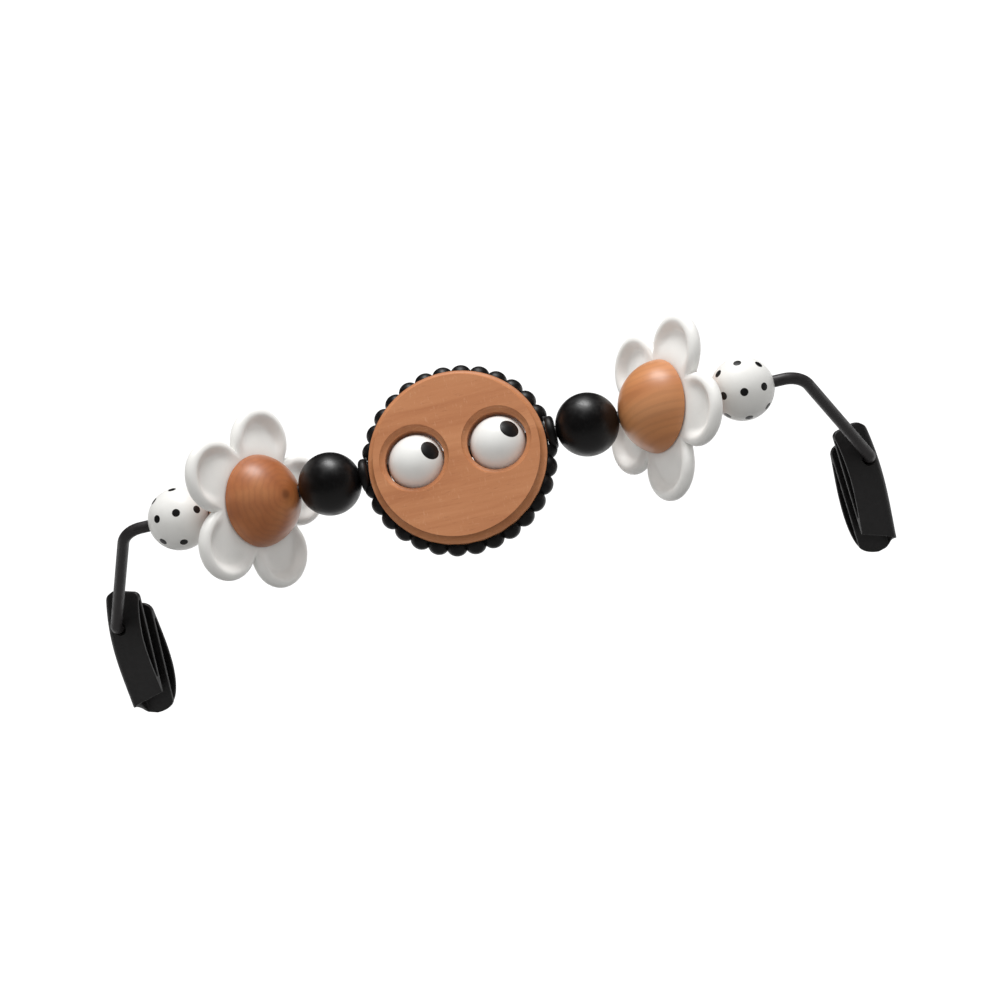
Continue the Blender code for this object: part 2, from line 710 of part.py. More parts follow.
def disc_half_outline():
    """Section of the front half, from the joint face to the outer face, which a cove runs round."""
    joint = TOUCH_GAP / 2
    seat = RING_HALF_THICKNESS + TOUCH_GAP
    inner = RING_INNER_RADIUS - TOUCH_GAP
    cove_depth = DISC_HALF_THICKNESS - seat - DISC_SIDE_HEIGHT
    outline = [(0, joint), (inner, joint), (inner, seat), (DISC_RADIUS, seat)]
    for across, down in arc((0, 0), 1, 90, 0, DISC_COVE_STEPS):
        outline.append((DISC_RADIUS - DISC_COVE_WIDTH * across, DISC_HALF_THICKNESS - cove_depth * down))
    return outline + [(0, DISC_HALF_THICKNESS)]


def ring_section(step):
    """The ring's section at this step round the disc: a flat band between the halves, and a slice of a
    round lobe beyond their edge."""
    from_lobe = 2 * pi / LOBE_COUNT * abs(step % LOBE_STEPS / LOBE_STEPS - 1 / 2)
    slice_radius = half_chord(LOBE_RADIUS, LOBE_CENTRE_RADIUS * sin(from_lobe))
    start = degrees(acos((RING_EDGE_RADIUS - LOBE_CENTRE_RADIUS) / slice_radius))
    under = [(RING_INNER_RADIUS, -RING_HALF_THICKNESS), (RING_EDGE_RADIUS, -RING_HALF_THICKNESS)]
    lobe = arc((LOBE_CENTRE_RADIUS, 0), slice_radius, -start, start, LOBE_ARC_STEPS)
    over = [(RING_EDGE_RADIUS, RING_HALF_THICKNESS), (RING_INNER_RADIUS, RING_HALF_THICKNESS)]
    return under + lobe + over


def make_ring(name, body, centre, material):
    bm = bmesh.new()
    count = LOBE_COUNT * LOBE_STEPS
    rings = []
    for step in range(count):
        angle = 2 * pi * step / count
        section = ring_section(step)
        rings.append([bm.verts.new((r * cos(angle), r * sin(angle), height)) for r, height in section])
    join_rings(bm, rings)
    bmesh.ops.transform(bm, matrix=centre, verts=bm.verts)
    return finish_mesh(name, bm, material, body)


def collar_seat(name, side, body):
    """A cutter that clears the ring's lobes round a collar."""
    start = COLLAR_START - STACK_GAP
    end = DISC_RADIUS + LOBE_RADIUS + CUT_OVERRUN
    half = (end - start) / 2
    outline = cylinder_outline(COLLAR_RADIUS + TOUCH_GAP, half)
    place = Matrix.Translation((side * (start + half), 0, 0)) @ ALONG_BAR
    return turned(name, outline, BALL_STEPS, None, body, place)


def make_dowels(body, centre, material):
    """Three dowels across the joint, clear of the eye holes, and the cutter for each one's hole."""
    cutters = []
    dowel = cylinder_outline(DOWEL_RADIUS, DOWEL_HALF_LENGTH)
    hole = cylinder_outline(DOWEL_RADIUS + TOUCH_GAP, DOWEL_HALF_LENGTH + TOUCH_GAP)
    for place, angle in DOWEL_ANGLES.items():
        to_circle = Matrix.Translation((DOWEL_CIRCLE_RADIUS, 0, 0))
        at = centre @ Matrix.Rotation(radians(angle), 4, "Z") @ to_circle
        turned(f"disc_dowel_{place}", dowel, DOWEL_STEPS, material, body, at)
        cutters.append(turned(f"dowel_hole_{place}", hole, DOWEL_STEPS, None, body, at))
    return cutters


def make_disc(materials):
    body = body_frame("axis_disc", BAR_CENTRE, (90 - DISC_FACE_RISE, 0, 0))
    centre = Matrix.Translation((0, -DISC_DROP, 0))
    turned_round = centre @ Matrix.Rotation(pi, 4, "Y")
    wood = materials["stained_wood"]
    front = turned("disc_front", disc_half_outline(), DISC_STEPS, wood, body, centre)
    back = turned("disc_back", disc_half_outline(), DISC_STEPS, wood, body, turned_round)
    ring = make_ring("disc_ring", body, centre, materials["black_plastic"])
    bore = rod_bore("disc_bore", body, DISC_RADIUS + LOBE_RADIUS + CUT_OVERRUN)
    combine(ring, bore)
    for place, side in SIDES.items():
        combine(ring, collar_seat(f"collar_seat_{place}", side, body))
    cutters = [eye_hole(f"eye_hole_{place}", side, body) for place, side in SIDES.items()]
    cutters += [bore] + make_dowels(body, centre, materials["beech_wood"])
    for half in (front, back):
        for cutter in cutters:
            combine(half, cutter)


def main():
    for old in list(bpy.data.objects):
        bpy.data.objects.remove(old, do_unlink=True)
    materials = make_materials()
    make_rod(materials["black_coat"])
    make_disc(materials)
    for place, side in SIDES.items():
        make_ball(f"eye_{place}", EYE_RADIUS, side, EYE_HALF_SPAN, materials["white_paint"])
        make_collar(f"collar_{place}", side, materials["black_plastic"])
        make_ball(f"black_bead_{place}", BEAD_RADIUS, side, BEAD_X, materials["black_paint"])
        make_flower(place, materials)
        make_ball(f"dotted_ball_{place}", DOTTED_RADIUS, side, DOTTED_X, materials["white_paint"])
        make_clip(f"clip_{place}", side, materials["black_plastic"])


main()
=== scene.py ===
"""Bouncer toy bar: its looks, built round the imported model, in metres and in the model's own frame.

Each threaded piece is made in its own frame, which sits on the bar: X along the bar for beads and
collars, Z out of the face for the disc, and Z along the flower's axis for domes and petals.
"""

from math import acos, asin, atan2, cos, degrees, dist, hypot, log, pi, radians, sin, sqrt, tan

import bmesh
import bpy
from mathutils import Matrix, Vector


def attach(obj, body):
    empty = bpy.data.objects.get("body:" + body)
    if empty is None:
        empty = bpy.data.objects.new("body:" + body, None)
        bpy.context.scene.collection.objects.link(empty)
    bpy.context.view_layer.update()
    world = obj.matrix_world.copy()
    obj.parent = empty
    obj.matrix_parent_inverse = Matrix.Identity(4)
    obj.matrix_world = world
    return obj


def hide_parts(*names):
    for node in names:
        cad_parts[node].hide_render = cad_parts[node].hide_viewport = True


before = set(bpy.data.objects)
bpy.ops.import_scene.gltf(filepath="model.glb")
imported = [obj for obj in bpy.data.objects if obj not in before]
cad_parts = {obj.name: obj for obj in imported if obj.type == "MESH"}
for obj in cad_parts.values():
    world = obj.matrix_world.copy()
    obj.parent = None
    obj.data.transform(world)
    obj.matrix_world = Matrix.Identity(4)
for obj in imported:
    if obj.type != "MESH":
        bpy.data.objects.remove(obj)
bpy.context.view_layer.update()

# Places in the model's frame
BAR_CENTRE = Vector((0, -0.0450, 0.0814))
SIDES = {"left": -1, "right": 1}
ALONG_BAR = Matrix.Rotation(radians(90), 4, "Y")
EYE_X = 0.0210
COLLAR_X = 0.047907
BEAD_X = 0.066263
FLOWER_X = 0.105600
DOTTED_X = 0.144938

# Sizes
ROD_RADIUS = 0.0030
BORE_RADIUS = 0.0033
BEAD_RADIUS = 0.0160
EYE_RADIUS = 0.0145
COLLAR_RADIUS = 0.0086
COLLAR_ROUND = 0.0020
COLLAR_LENGTH = 0.0044
COLLAR_SEAT_START = 0.045207
COLLAR_SEAT_END = 0.0534
TOUCH_GAP = 0.0003
MERGE_DISTANCE = 0.000002
PAINT_HEIGHT = 0.00004
COLLAR_ROUND_STEPS = 12
COLLAR_SIDES = 72
BORE_SIDES = 48
TURNED_SIDES = 128

# Painted dots and pupils. The leans turn a ball's pattern off the bar's line, round the upright and then
# round the line of sight.
DOT_RADIUS = 0.0020
DOT_RING_OFFSETS = (-0.0102, 0.0, 0.0102)
DOTS_IN_RING = 6
DOT_PHASES = {"left": 30.3, "right": 12.0}
DOT_LEANS = {"left": (8.3, 2.1), "right": (0.0, 0.0)}
PUPIL_RADIUS = 0.0050
PUPIL_LATITUDES = {"left": 39.0, "right": 33.0}
PUPIL_RISES = {"left": 47.0, "right": 54.0}
PUPIL_STEPS = 56
PUPIL_RINGS = 10

# Face disc
DISC_FACE_RISE = 37.0
DISC_DROP = 0.0029
DISC_RADIUS = 0.0450
DISC_COVE_WIDTH = 0.0030
DISC_COVE_STEPS = 12
DISC_HALF_THICKNESS = 0.0100
DISC_SEAT = 0.0043
DISC_SIDE_HEIGHT = 0.0018
DISC_INNER_RADIUS = 0.0387
DISC_JOINT = 0.00015
DISC_STEPS = 180
DISC_FLAT_SHARE = 0.6
DISC_BEVEL = 0.00022
DISC_BEVEL_FROM = 38.0
DISC_BORE_REACH = 0.06
RING_SHARP = 50
EYE_HOLE_RADIUS = 0.0150
COVE_RADIUS = 0.0176
COVE_DEPTH = 0.0026
COVE_LIFT = 0.0003
RING_INNER_RADIUS = 0.0390
RING_EDGE_RADIUS = 0.0453
RING_HALF_THICKNESS = 0.0040
LOBE_COUNT = 30
LOBE_CENTRE_RADIUS = 0.0443
LOBE_RADIUS = 0.0054
LOBE_STEPS = 16
LOBE_ARC_STEPS = 24

# Flowers
FLOWER_RADIUS = 0.0232
FLOWER_WIDE_RADIUS = 0.0238
FLOWER_AXIS_TO_BAR = 37.3
FLOWER_RISES = {"left": 11.2, "right": 39.2}
PETAL_TURNS = {"left": -22.8, "right": 27.5}
PETAL_COUNT = 5
PETAL_REACH = 0.0297
PETAL_RADIUS = 0.0181
PETAL_HALF_THICKNESS = 0.0034
PETAL_RIM = 0.0034
PETAL_BOWL_DEPTH = 0.0036
PETAL_BOWL_RUN = 0.0055
PETAL_BASE_RUN = 0.0140
PETAL_FORWARD = 0.0010
PETAL_FORWARD_RUN = 0.0120
PETAL_INNER_RADIUS = 0.0124
PETAL_SIDE_STEPS = 30
PETAL_SECTION_STEPS = 44
DOME_FACE = 0.0038
HUB_SEAT_RADIUS = 0.0123
HUB_SEAT_END = 0.0093
DOME_EDGE_ROUND = 0.0006
DOME_CORNER_ROUND = 0.0003
DOME_FACE_BAND = 0.0010
DOME_CURVE_STEPS = 44
DOME_BORE_REACH = 0.03
PETAL_STEP_POWER = 1.7
PETAL_SHARP = 60

# Clips: w runs across from the open inner side, n from front to back, l up along the slot
CLIP_X = 0.1973
CLIP_TOE = 23.0
CLIP_LEAN = 5.5
CLIP_INNER = -0.0101
CLIP_WIDTHS = {"left": 0.0219, "right": 0.0199}
MEAN_CLIP_WIDTH = 0.0209
LOW_WIDENINGS = {"left": 0.0006, "right": 0.0}
SLOT_GAP = 0.0061
SLOT_DEPTH = 0.0168
CLIP_WALL = 0.0016
CLIP_SKIN = 0.0014
FRONT_TOP = 0.0356
FRONT_LOW = -0.0244
BACK_TOP = 0.0250
BACK_LOW = -0.0340
FRONT_BULGE = 0.0058
BACK_BULGE = 0.0070
FRONT_PEAK_SHARE = 0.598
FRONT_POWER = 0.8
BACK_PEAK_SHARE = 0.303
FRONT_LOW_SLANT = 28.5
FRONT_LOW_TURN_SHARE = 0.7
FRONT_LOW_DROP = 0.0010
BACK_LOW_BULGE = 0.0049
BACK_LOW_SINK = 0.0062
LOW_CORNER_TOP = -0.0330
LOW_CORNER_WIDTH = 0.0060
LOW_CORNER_HEIGHT = 0.0090
LOW_EDGE_STEPS = 40
TOP_OUTER_ROUND = 0.0080
TOP_INNER_ROUND = 0.0030
OUTER_EDGE_ROUND = 0.0040
OUTER_EDGE_STEPS = 8
BACK_CORNER_ROUND = 0.0045
ARCH_STEPS = 48
CORNER_ARC_STEPS = 12
CUT_OVERRUN = 0.0030
HOLE_ACROSS = 0.0035
HOLE_BELOW_TOP = 0.01885
HOLE_RADIUS = 0.0037
HOLE_FLARE = 0.0008
HOLE_FLOOR = 0.0015
HOLE_MOUTH_SPREAD = 0.0010
HOLE_MOUTH_LIFT = 0.0001
HOLE_MOUTH_MIDDLE = (HOLE_RADIUS + 0.0002, 0.0005)
HOLE_MOUTH_DEPTH = 0.0010
POCKET_WALL = 0.0018
CLIP_VOXEL = 0.00032
CLIP_SMOOTHING = 0.5
CLIP_SMOOTH_ROUNDS = 4
HOLE_SIDES = 64

# Rod
CORNER_HALF_SPAN = 0.1742
CORNER_RADIUS = 0.0130
HOOK_RADIUS = 0.0060
HOOK_SEAT = 0.0018
HOOK_ROUNDS = 8
ROD_SIDES = 40
BEND_STEPS = 28


# Mesh helpers
def ease(distance, run):
    """Grows smoothly from 0 to 1 over the run."""
    share = min(1.0, max(0.0, distance / run))
    return (1 - cos(pi * share)) / 2


def half_chord(radius, offset):
    """How far a circle reaches along a line that passes its centre at this offset."""
    return sqrt(radius**2 - offset**2)


def arc(centre, radius, start, end, steps):
    """Points of an arc in a plane, with angles in degrees."""
    angles = [radians(start + (end - start) * i / steps) for i in range(steps + 1)]
    return [(centre[0] + radius * cos(a), centre[1] + radius * sin(a)) for a in angles]


def rounded(outline, radius, steps=4):
    """An open outline with each inner corner rounded."""
    points = [Vector(point) for point in outline]
    result = [tuple(points[0])]
    for before, corner, after in zip(points, points[1:], points[2:]):
        back = before - corner
        ahead = after - corner
        half = back.angle(ahead) / 2
        reach = min(radius / tan(half), 0.45 * back.length, 0.45 * ahead.length)
        start = corner + back.normalized() * reach
        end = corner + ahead.normalized() * reach
        for i in range(steps + 1):
            t = i / steps
            place = start * (1 - t) ** 2 + corner * 2 * t * (1 - t) + end * t**2
            result.append(tuple(place))
    return result + [tuple(points[-1])]


def join_rings(bm, rings, closed=True):
    """Faces between each loop of points and the next, and from the last to the first if closed."""
    pairs = list(zip(rings, rings[1:]))
    if closed:
        pairs.append((rings[-1], rings[0]))
    for ring, following in pairs:
        for j in range(len(ring)):
            k = (j + 1) % len(ring)
            bm.faces.new((ring[j], ring[k], following[k], following[j]))


def new_object(name, bm, sharp=35):
    bmesh.ops.recalc_face_normals(bm, faces=bm.faces)
    mesh = bpy.data.meshes.new(name)
    bm.to_mesh(mesh)
    bm.free()
    mesh.shade_smooth()
    mesh.set_sharp_from_angle(angle=radians(sharp))
    made = bpy.data.objects.new(name, mesh)
    bpy.context.scene.collection.objects.link(made)
    return made


def spun(name, profile, steps):
    """A closed outline of (radius, height) points spun round Z."""
    bm = bmesh.new()
    points = [bm.verts.new((radius, 0, height)) for radius, height in profile]
    for first, second in zip(points, points[1:] + points[:1]):
        if first.co.x or second.co.x:
            bm.edges.new((first, second))
    bmesh.ops.spin(
        bm, geom=bm.verts[:] + bm.edges[:], cent=(0, 0, 0), axis=(0, 0, 1), angle=2 * pi,
        steps=steps, use_merge=True,
    )
    bmesh.ops.remove_doubles(bm, verts=bm.verts, dist=MERGE_DISTANCE)
    return new_object(name, bm)


def loft(name, outlines):
    """A solid through outlines of (x, y, z) points, closed by a face at each end."""
    bm = bmesh.new()
    rings = [[bm.verts.new(place) for place in outline] for outline in outlines]
    join_rings(bm, rings, closed=False)
    bm.faces.new(rings[0])
    bm.faces.new(rings[-1])
    return new_object(name, bm)


def turned_mesh(obj, matrix):
    """Moves an object's mesh, and leaves its own frame where it is."""
    obj.data.transform(matrix)
    return obj


def cylinder_outline(radius, half_length):
    return [(0, -half_length), (radius, -half_length), (radius, half_length), (0, half_length)]


def bore_cutter(reach):
    """A rod-shaped cutter along X, this far to each side."""
    return turned_mesh(spun("bore", cylinder_outline(BORE_RADIUS, reach), BORE_SIDES), ALONG_BAR)


def combine(target, tool, operation="DIFFERENCE"):
    """Cuts, joins or keeps the overlap with a helper in the same frame, which is then deleted."""
    modifier = target.modifiers.new(tool.name, "BOOLEAN")
    modifier.operation = operation
    modifier.solver = "EXACT"
    modifier.object = tool
    settle(target)
    bpy.data.objects.remove(tool, do_unlink=True)


def settle(obj, sharp=35):
    """Turns an object's modifiers into its mesh."""
    bpy.context.view_layer.update()
    graph = bpy.context.evaluated_depsgraph_get()
    mesh = bpy.data.meshes.new_from_object(obj.evaluated_get(graph))
    obj.modifiers.clear()
    obj.data = mesh
    if sharp:
        mesh.shade_smooth()
        mesh.set_sharp_from_angle(angle=radians(sharp))


def add_modifier(obj, kind, **settings):
    modifier = obj.modifiers.new(kind.lower(), kind)
    for key, value in settings.items():
        setattr(modifier, key, value)
    return modifier


def place_piece(obj, matrix, material, body, node=None):
    """Puts a piece in its place on the model and says what it stands for."""
    obj.matrix_world = matrix
    obj.data.materials.clear()
    obj.data.materials.append(material)
    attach(obj, body)
    if node:
        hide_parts(node)
    return obj


def on_bar(x, rise=0.0):
    """The frame of a piece that is threaded on the bar at x and turned round it."""
    return Matrix.Translation(BAR_CENTRE + Vector((x, 0, 0))) @ Matrix.Rotation(radians(rise), 4, "X")


# Materials
class Nodes:
    """Adds nodes to a material's tree, each in one line."""

    def __init__(self, name):
        self.material = bpy.data.materials.new(name)
        self.material.use_nodes = True
        self.tree = self.material.node_tree
        self.shader = self.tree.nodes["Principled BSDF"]

    def link(self, source, target):
        self.tree.links.new(source, target)

    def set(self, node, **values):
        """Sets a node's sockets, by their names with spaces as underscores."""
        for name, value in values.items():
            socket = node.inputs[name.replace("_", " ")]
            if isinstance(value, bpy.types.NodeSocket):
                self.link(value, socket)
            else:
                socket.default_value = value
        return node

    def coordinates(self, scale=(1, 1, 1), turn=(0, 0, 0), shift=(0, 0, 0)):
        source = self.tree.nodes.new("ShaderNodeTexCoord")
        mapping = self.tree.nodes.new("ShaderNodeMapping")
        self.link(source.outputs["Object"], mapping.inputs["Vector"])
        mapping.inputs["Scale"].default_value = scale
        mapping.inputs["Rotation"].default_value = [radians(angle) for angle in turn]
        mapping.inputs["Location"].default_value = shift
        return mapping.outputs["Vector"]

    def noise(self, vector, scale, detail=2.0, roughness=0.5, distortion=0.0):
        node = self.tree.nodes.new("ShaderNodeTexNoise")
        self.set(node, Vector=vector, Scale=scale, Detail=detail, Roughness=roughness, Distortion=distortion)
        return node.outputs["Fac"]

    def ramp(self, value, *stops):
        """Colours along a value: each stop is a position and a colour."""
        node = self.tree.nodes.new("ShaderNodeValToRGB")
        self.link(value, node.inputs["Fac"])
        elements = node.color_ramp.elements
        while len(elements) < len(stops):
            elements.new(0.5)
        for element, (position, colour) in zip(elements, stops):
            element.position = position
            element.color = (*colour, 1)
        return node.outputs["Color"]

    def range(self, value, low, high, to_low, to_high):
        node = self.tree.nodes.new("ShaderNodeMapRange")
        node.interpolation_type = "SMOOTHSTEP"
        self.link(value, node.inputs["Value"])
        self.set(node, From_Min=low, From_Max=high, To_Min=to_low, To_Max=to_high)
        return node.outputs["Result"]

    def mix(self, share, first, second):
        """One colour over another, by a share from 0 to 1."""
        node = self.tree.nodes.new("ShaderNodeMix")
        node.data_type = "RGBA"
        for name, value in (("Factor", share), ("A", first), ("B", second)):
            socket = [s for s in node.inputs if s.name == name and s.enabled][0]
            if isinstance(value, bpy.types.NodeSocket):
                self.link(value, socket)
            elif name == "Factor":
                socket.default_value = value
            else:
                socket.default_value = (*value, 1)
        return [s for s in node.outputs if s.enabled][0]

    def bump(self, height, distance, strength=1.0):
        node = self.tree.nodes.new("ShaderNodeBump")
        self.set(node, Strength=strength, Distance=distance)
        self.link(height, node.inputs["Height"])
        self.link(node.outputs["Normal"], self.shader.inputs["Normal"])


def stained_wood():
    """The disc's wood: fine grain a little off the bar's line, pale flecks and a thin lacquer."""
    made = Nodes("stained_wood_grain")
    along = made.coordinates(scale=(7, 90, 30), turn=(0, 0, -5))
    streaks = made.noise(along, 1.6, 4, 0.55, 0.5)
    cloud = made.noise(made.coordinates(scale=(14, 34, 14), turn=(0, 0, -8)), 1.0, 2)
    fibres = made.noise(made.coordinates(scale=(170, 1300, 300), turn=(0, 0, -5)), 1.0, 3, 0.6)
    rays = made.noise(made.coordinates(scale=(900, 260, 260), turn=(0, 0, -5)), 1.0, 2, 0.6)
    base = made.ramp(
        streaks, (0.3, (0.440, 0.166, 0.066)), (0.5, (0.505, 0.206, 0.086)), (0.72, (0.560, 0.242, 0.107))
    )
    base = made.mix(made.range(cloud, 0.35, 0.7, 0.0, 0.30), base, (0.445, 0.166, 0.064))
    base = made.mix(made.range(fibres, 0.60, 0.80, 0.0, 0.35), base, (0.72, 0.41, 0.235))
    base = made.mix(made.range(rays, 0.58, 0.80, 0.0, 0.30), base, (0.70, 0.39, 0.215))
    base = made.mix(made.range(fibres, 0.42, 0.26, 0.0, 0.45), base, (0.33, 0.120, 0.048))
    made.link(base, made.shader.inputs["Base Color"])
    made.set(made.shader, Roughness=made.range(fibres, 0.3, 0.7, 0.52, 0.42), Specular_IOR_Level=0.35)
    made.bump(fibres, 0.00010, 0.3)
    return made.material


def dome_wood(name, knot, across, dark, middle, light):
    """Lacquered turned wood: growth rings and fine rays round a knot, fine pores and a satin coat."""
    made = Nodes(name)
    place = made.coordinates(scale=across, shift=knot)
    cloud = made.noise(place, 60, 2, 0.5)
    rings = made.tree.nodes.new("ShaderNodeTexWave")
    rings.wave_type = "RINGS"
    rings.rings_direction = "SPHERICAL"
    made.set(rings, Vector=place, Scale=105, Distortion=5.0, Detail=3.0)
    made.set(rings, Detail_Scale=1.2, Detail_Roughness=0.6)
    pores = made.noise(made.coordinates(scale=(260, 260, 1700)), 1.0, 2, 0.6)
    base = made.ramp(cloud, (0.32, dark), (0.52, middle), (0.72, light))
    grown = made.range(rings.outputs["Fac"], 0.35, 1.0, 0.0, 0.13)
    base = made.mix(grown, base, tuple(c * 0.5 for c in dark))
    base = made.mix(made.range(pores, 0.60, 0.78, 0.0, 0.35), base, dark)
    heart = made.tree.nodes.new("ShaderNodeVectorMath")
    heart.operation = "LENGTH"
    made.link(place, heart.inputs[0])
    near = made.range(heart.outputs["Value"], 0.0004, 0.0045, 0.65, 0.0)
    base = made.mix(near, base, tuple(c * 0.35 for c in dark))
    made.link(base, made.shader.inputs["Base Color"])
    made.set(made.shader, Roughness=0.50, Coat_Weight=0.55, Coat_Roughness=0.33)
    made.bump(pores, 0.00006, 0.25)
    return made.material


def satin_black(name, colour, roughness, scuff, specular=0.5):
    """Black paint, plastic or coat, with slight wear that shows in its gloss."""
    made = Nodes(name)
    wear = made.noise(made.coordinates(scale=(1, 1, 1)), 260, 4, 0.65, 0.6)
    fine = made.noise(made.coordinates(scale=(1, 1, 1)), 2600, 2, 0.6)
    worn = tuple(4 * c + 0.01 for c in colour)
    base = made.mix(made.range(wear, 0.5, 0.8, 0.0, scuff), colour, worn)
    made.link(base, made.shader.inputs["Base Color"])
    made.set(made.shader, Roughness=made.range(wear, 0.35, 0.7, roughness - 0.04, roughness + 0.08))
    made.set(made.shader, Specular_IOR_Level=specular)
    made.bump(fine, 0.00003, 0.3)
    return made.material


def satin_white(name, colour, roughness, grain):
    """White paint or plastic with the faintest unevenness."""
    made = Nodes(name)
    cloud = made.noise(made.coordinates(scale=(1, 1, 1)), 120, 3, 0.5)
    fine = made.noise(made.coordinates(scale=(1, 1, 1)), 1500, 3, 0.6)
    shade = tuple(c * 0.965 for c in colour)
    base = made.mix(made.range(cloud, 0.4, 0.7, 0.0, 1.0), colour, shade)
    made.link(base, made.shader.inputs["Base Color"])
    made.set(made.shader, Roughness=made.range(fine, 0.3, 0.7, roughness - 0.05, roughness + 0.05))
    made.bump(fine, grain, 0.4)
    return made.material


MATERIALS = {
    "disc": stained_wood(),
    "dome_left": dome_wood(
        "dome_wood_left", (-0.0005, -0.0016, -0.0231), (1, 1, 1),
        (0.380, 0.112, 0.029), (0.460, 0.150, 0.042), (0.530, 0.198, 0.062),
    ),
    "dome_right": dome_wood(
        "dome_wood_right", (0.0032, -0.002, -0.0013), (0.15, 1, 0.15),
        (0.500, 0.178, 0.055), (0.585, 0.232, 0.080), (0.655, 0.285, 0.110),
    ),
    "hub": dome_wood(
        "hub_wood", (0, 0, 0), (1, 1, 1),
        (0.45, 0.27, 0.15), (0.58, 0.37, 0.22), (0.66, 0.45, 0.29),
    ),
    "bead": satin_black("bead_paint", (0.0045, 0.0037, 0.0039), 0.40, 0.25, 0.6),
    "ring": satin_black("ring_plastic", (0.007, 0.0062, 0.0064), 0.44, 0.2, 0.4),
    "clip": satin_black("clip_plastic", (0.0095, 0.0082, 0.0085), 0.56, 0.15, 0.8),
    "rod": satin_black("rod_coat", (0.027, 0.0235, 0.0245), 0.50, 0.15, 0.7),
    "dot": satin_black("dot_paint", (0.009, 0.0085, 0.009), 0.38, 0.1),
    "ball": satin_white("ball_paint", (0.855, 0.850, 0.825), 0.42, 0.00002),
    "eye": satin_white("eye_paint", (0.870, 0.868, 0.845), 0.36, 0.00002),
    "petal": satin_white("petal_plastic", (0.895, 0.887, 0.860), 0.40, 0.000015),
}


# Balls, beads and collars
def ball(name, radius, steps=96):
    mouth = 90 - degrees(asin(BORE_RADIUS / radius))
    return turned_mesh(spun(name, arc((0, 0), radius, -mouth, mouth, steps // 2), steps), ALONG_BAR)


def spot(bm, radius, direction, size, steps=28, rings=5):
    """A thin round patch of paint on a ball, as a cap that follows the surface."""
    axis = Vector(direction).normalized()
    side = axis.orthogonal().normalized()
    other = axis.cross(side)
    reach = asin(size / radius)
    lifted = radius + PAINT_HEIGHT
    centre = bm.verts.new(axis * lifted)
    loops = []
    for i in range(1, rings + 1):
        angle = reach * i / rings
        loop = []
        for j in range(steps):
            turn = 2 * pi * j / steps
            out = side * cos(turn) + other * sin(turn)
            loop.append(bm.verts.new((axis * cos(angle) + out * sin(angle)) * lifted))
        loops.append(loop)
    # The rim turns down into the ball, so that the patch is a closed thin solid
    floor = []
    for vert in loops[-1]:
        floor.append(bm.verts.new(vert.co.normalized() * (radius - PAINT_HEIGHT)))
    loops.append(floor)
    base = bm.verts.new(axis * (radius - PAINT_HEIGHT))
    for j in range(steps):
        k = (j + 1) % steps
        bm.faces.new((centre, loops[0][j], loops[0][k]))
        bm.faces.new((base, floor[k], floor[j]))
    for inner, outer in zip(loops, loops[1:]):
        for j in range(steps):
            k = (j + 1) % steps
            bm.faces.new((inner[j], outer[j], outer[k], inner[k]))


def make_beads(place, side):
    bead = ball(f"bead_{place}", BEAD_RADIUS)
    place_piece(
        bead, on_bar(side * BEAD_X), MATERIALS["bead"], f"black_bead_{place}",
        f"black_bead_{place}",
    )
    half = COLLAR_LENGTH / 2
    rim = COLLAR_RADIUS - COLLAR_ROUND
    outline = [(BORE_RADIUS, -half)]
    outline += arc((rim, -half + COLLAR_ROUND), COLLAR_ROUND, -90, 0, COLLAR_ROUND_STEPS)
    outline += arc((rim, half - COLLAR_ROUND), COLLAR_ROUND, 0, 90, COLLAR_ROUND_STEPS)
    outline += [(BORE_RADIUS, half)]
    collar = turned_mesh(spun(f"spacer_{place}", outline, COLLAR_SIDES), ALONG_BAR)
    place_piece(
        collar, on_bar(side * COLLAR_X), MATERIALS["ring"], f"collar_{place}",
        f"collar_{place}",
    )


def make_dotted_ball(place, side):
    frame_here = on_bar(side * DOTTED_X)
    body = f"dotted_ball_{place}"
    white_ball = ball(f"dotted_{place}", BEAD_RADIUS)
    place_piece(white_ball, frame_here, MATERIALS["ball"], body, body)
    upright, sight = DOT_LEANS[place]
    lean = Matrix.Rotation(radians(upright), 3, "Z") @ Matrix.Rotation(radians(sight), 3, "Y")
    bm = bmesh.new()
    for offset in DOT_RING_OFFSETS:
        across = half_chord(BEAD_RADIUS, offset)
        for i in range(DOTS_IN_RING):
            turn = radians(DOT_PHASES[place] + 360 * i / DOTS_IN_RING)
            direction = lean @ Vector((offset, -across * cos(turn), across * sin(turn)))
            spot(bm, BEAD_RADIUS, direction, DOT_RADIUS)
    place_piece(new_object(f"dots_{place}", bm), frame_here, MATERIALS["dot"], body)


def make_eye(place, side):
    frame_here = on_bar(side * EYE_X)
    body = f"eye_{place}"
    eyeball = ball(f"eyeball_{place}", EYE_RADIUS)
    place_piece(eyeball, frame_here, MATERIALS["eye"], body, body)
    latitude = radians(PUPIL_LATITUDES[place])
    rise = radians(PUPIL_RISES[place])
    direction = (sin(latitude), -cos(latitude) * cos(rise), cos(latitude) * sin(rise))
    bm = bmesh.new()
    spot(bm, EYE_RADIUS, direction, PUPIL_RADIUS, PUPIL_STEPS, PUPIL_RINGS)
    place_piece(new_object(f"pupil_{place}", bm), frame_here, MATERIALS["dot"], body)


# Face disc
def disc_frame():
    return on_bar(0, 90 - DISC_FACE_RISE) @ Matrix.Translation((0, -DISC_DROP, 0))


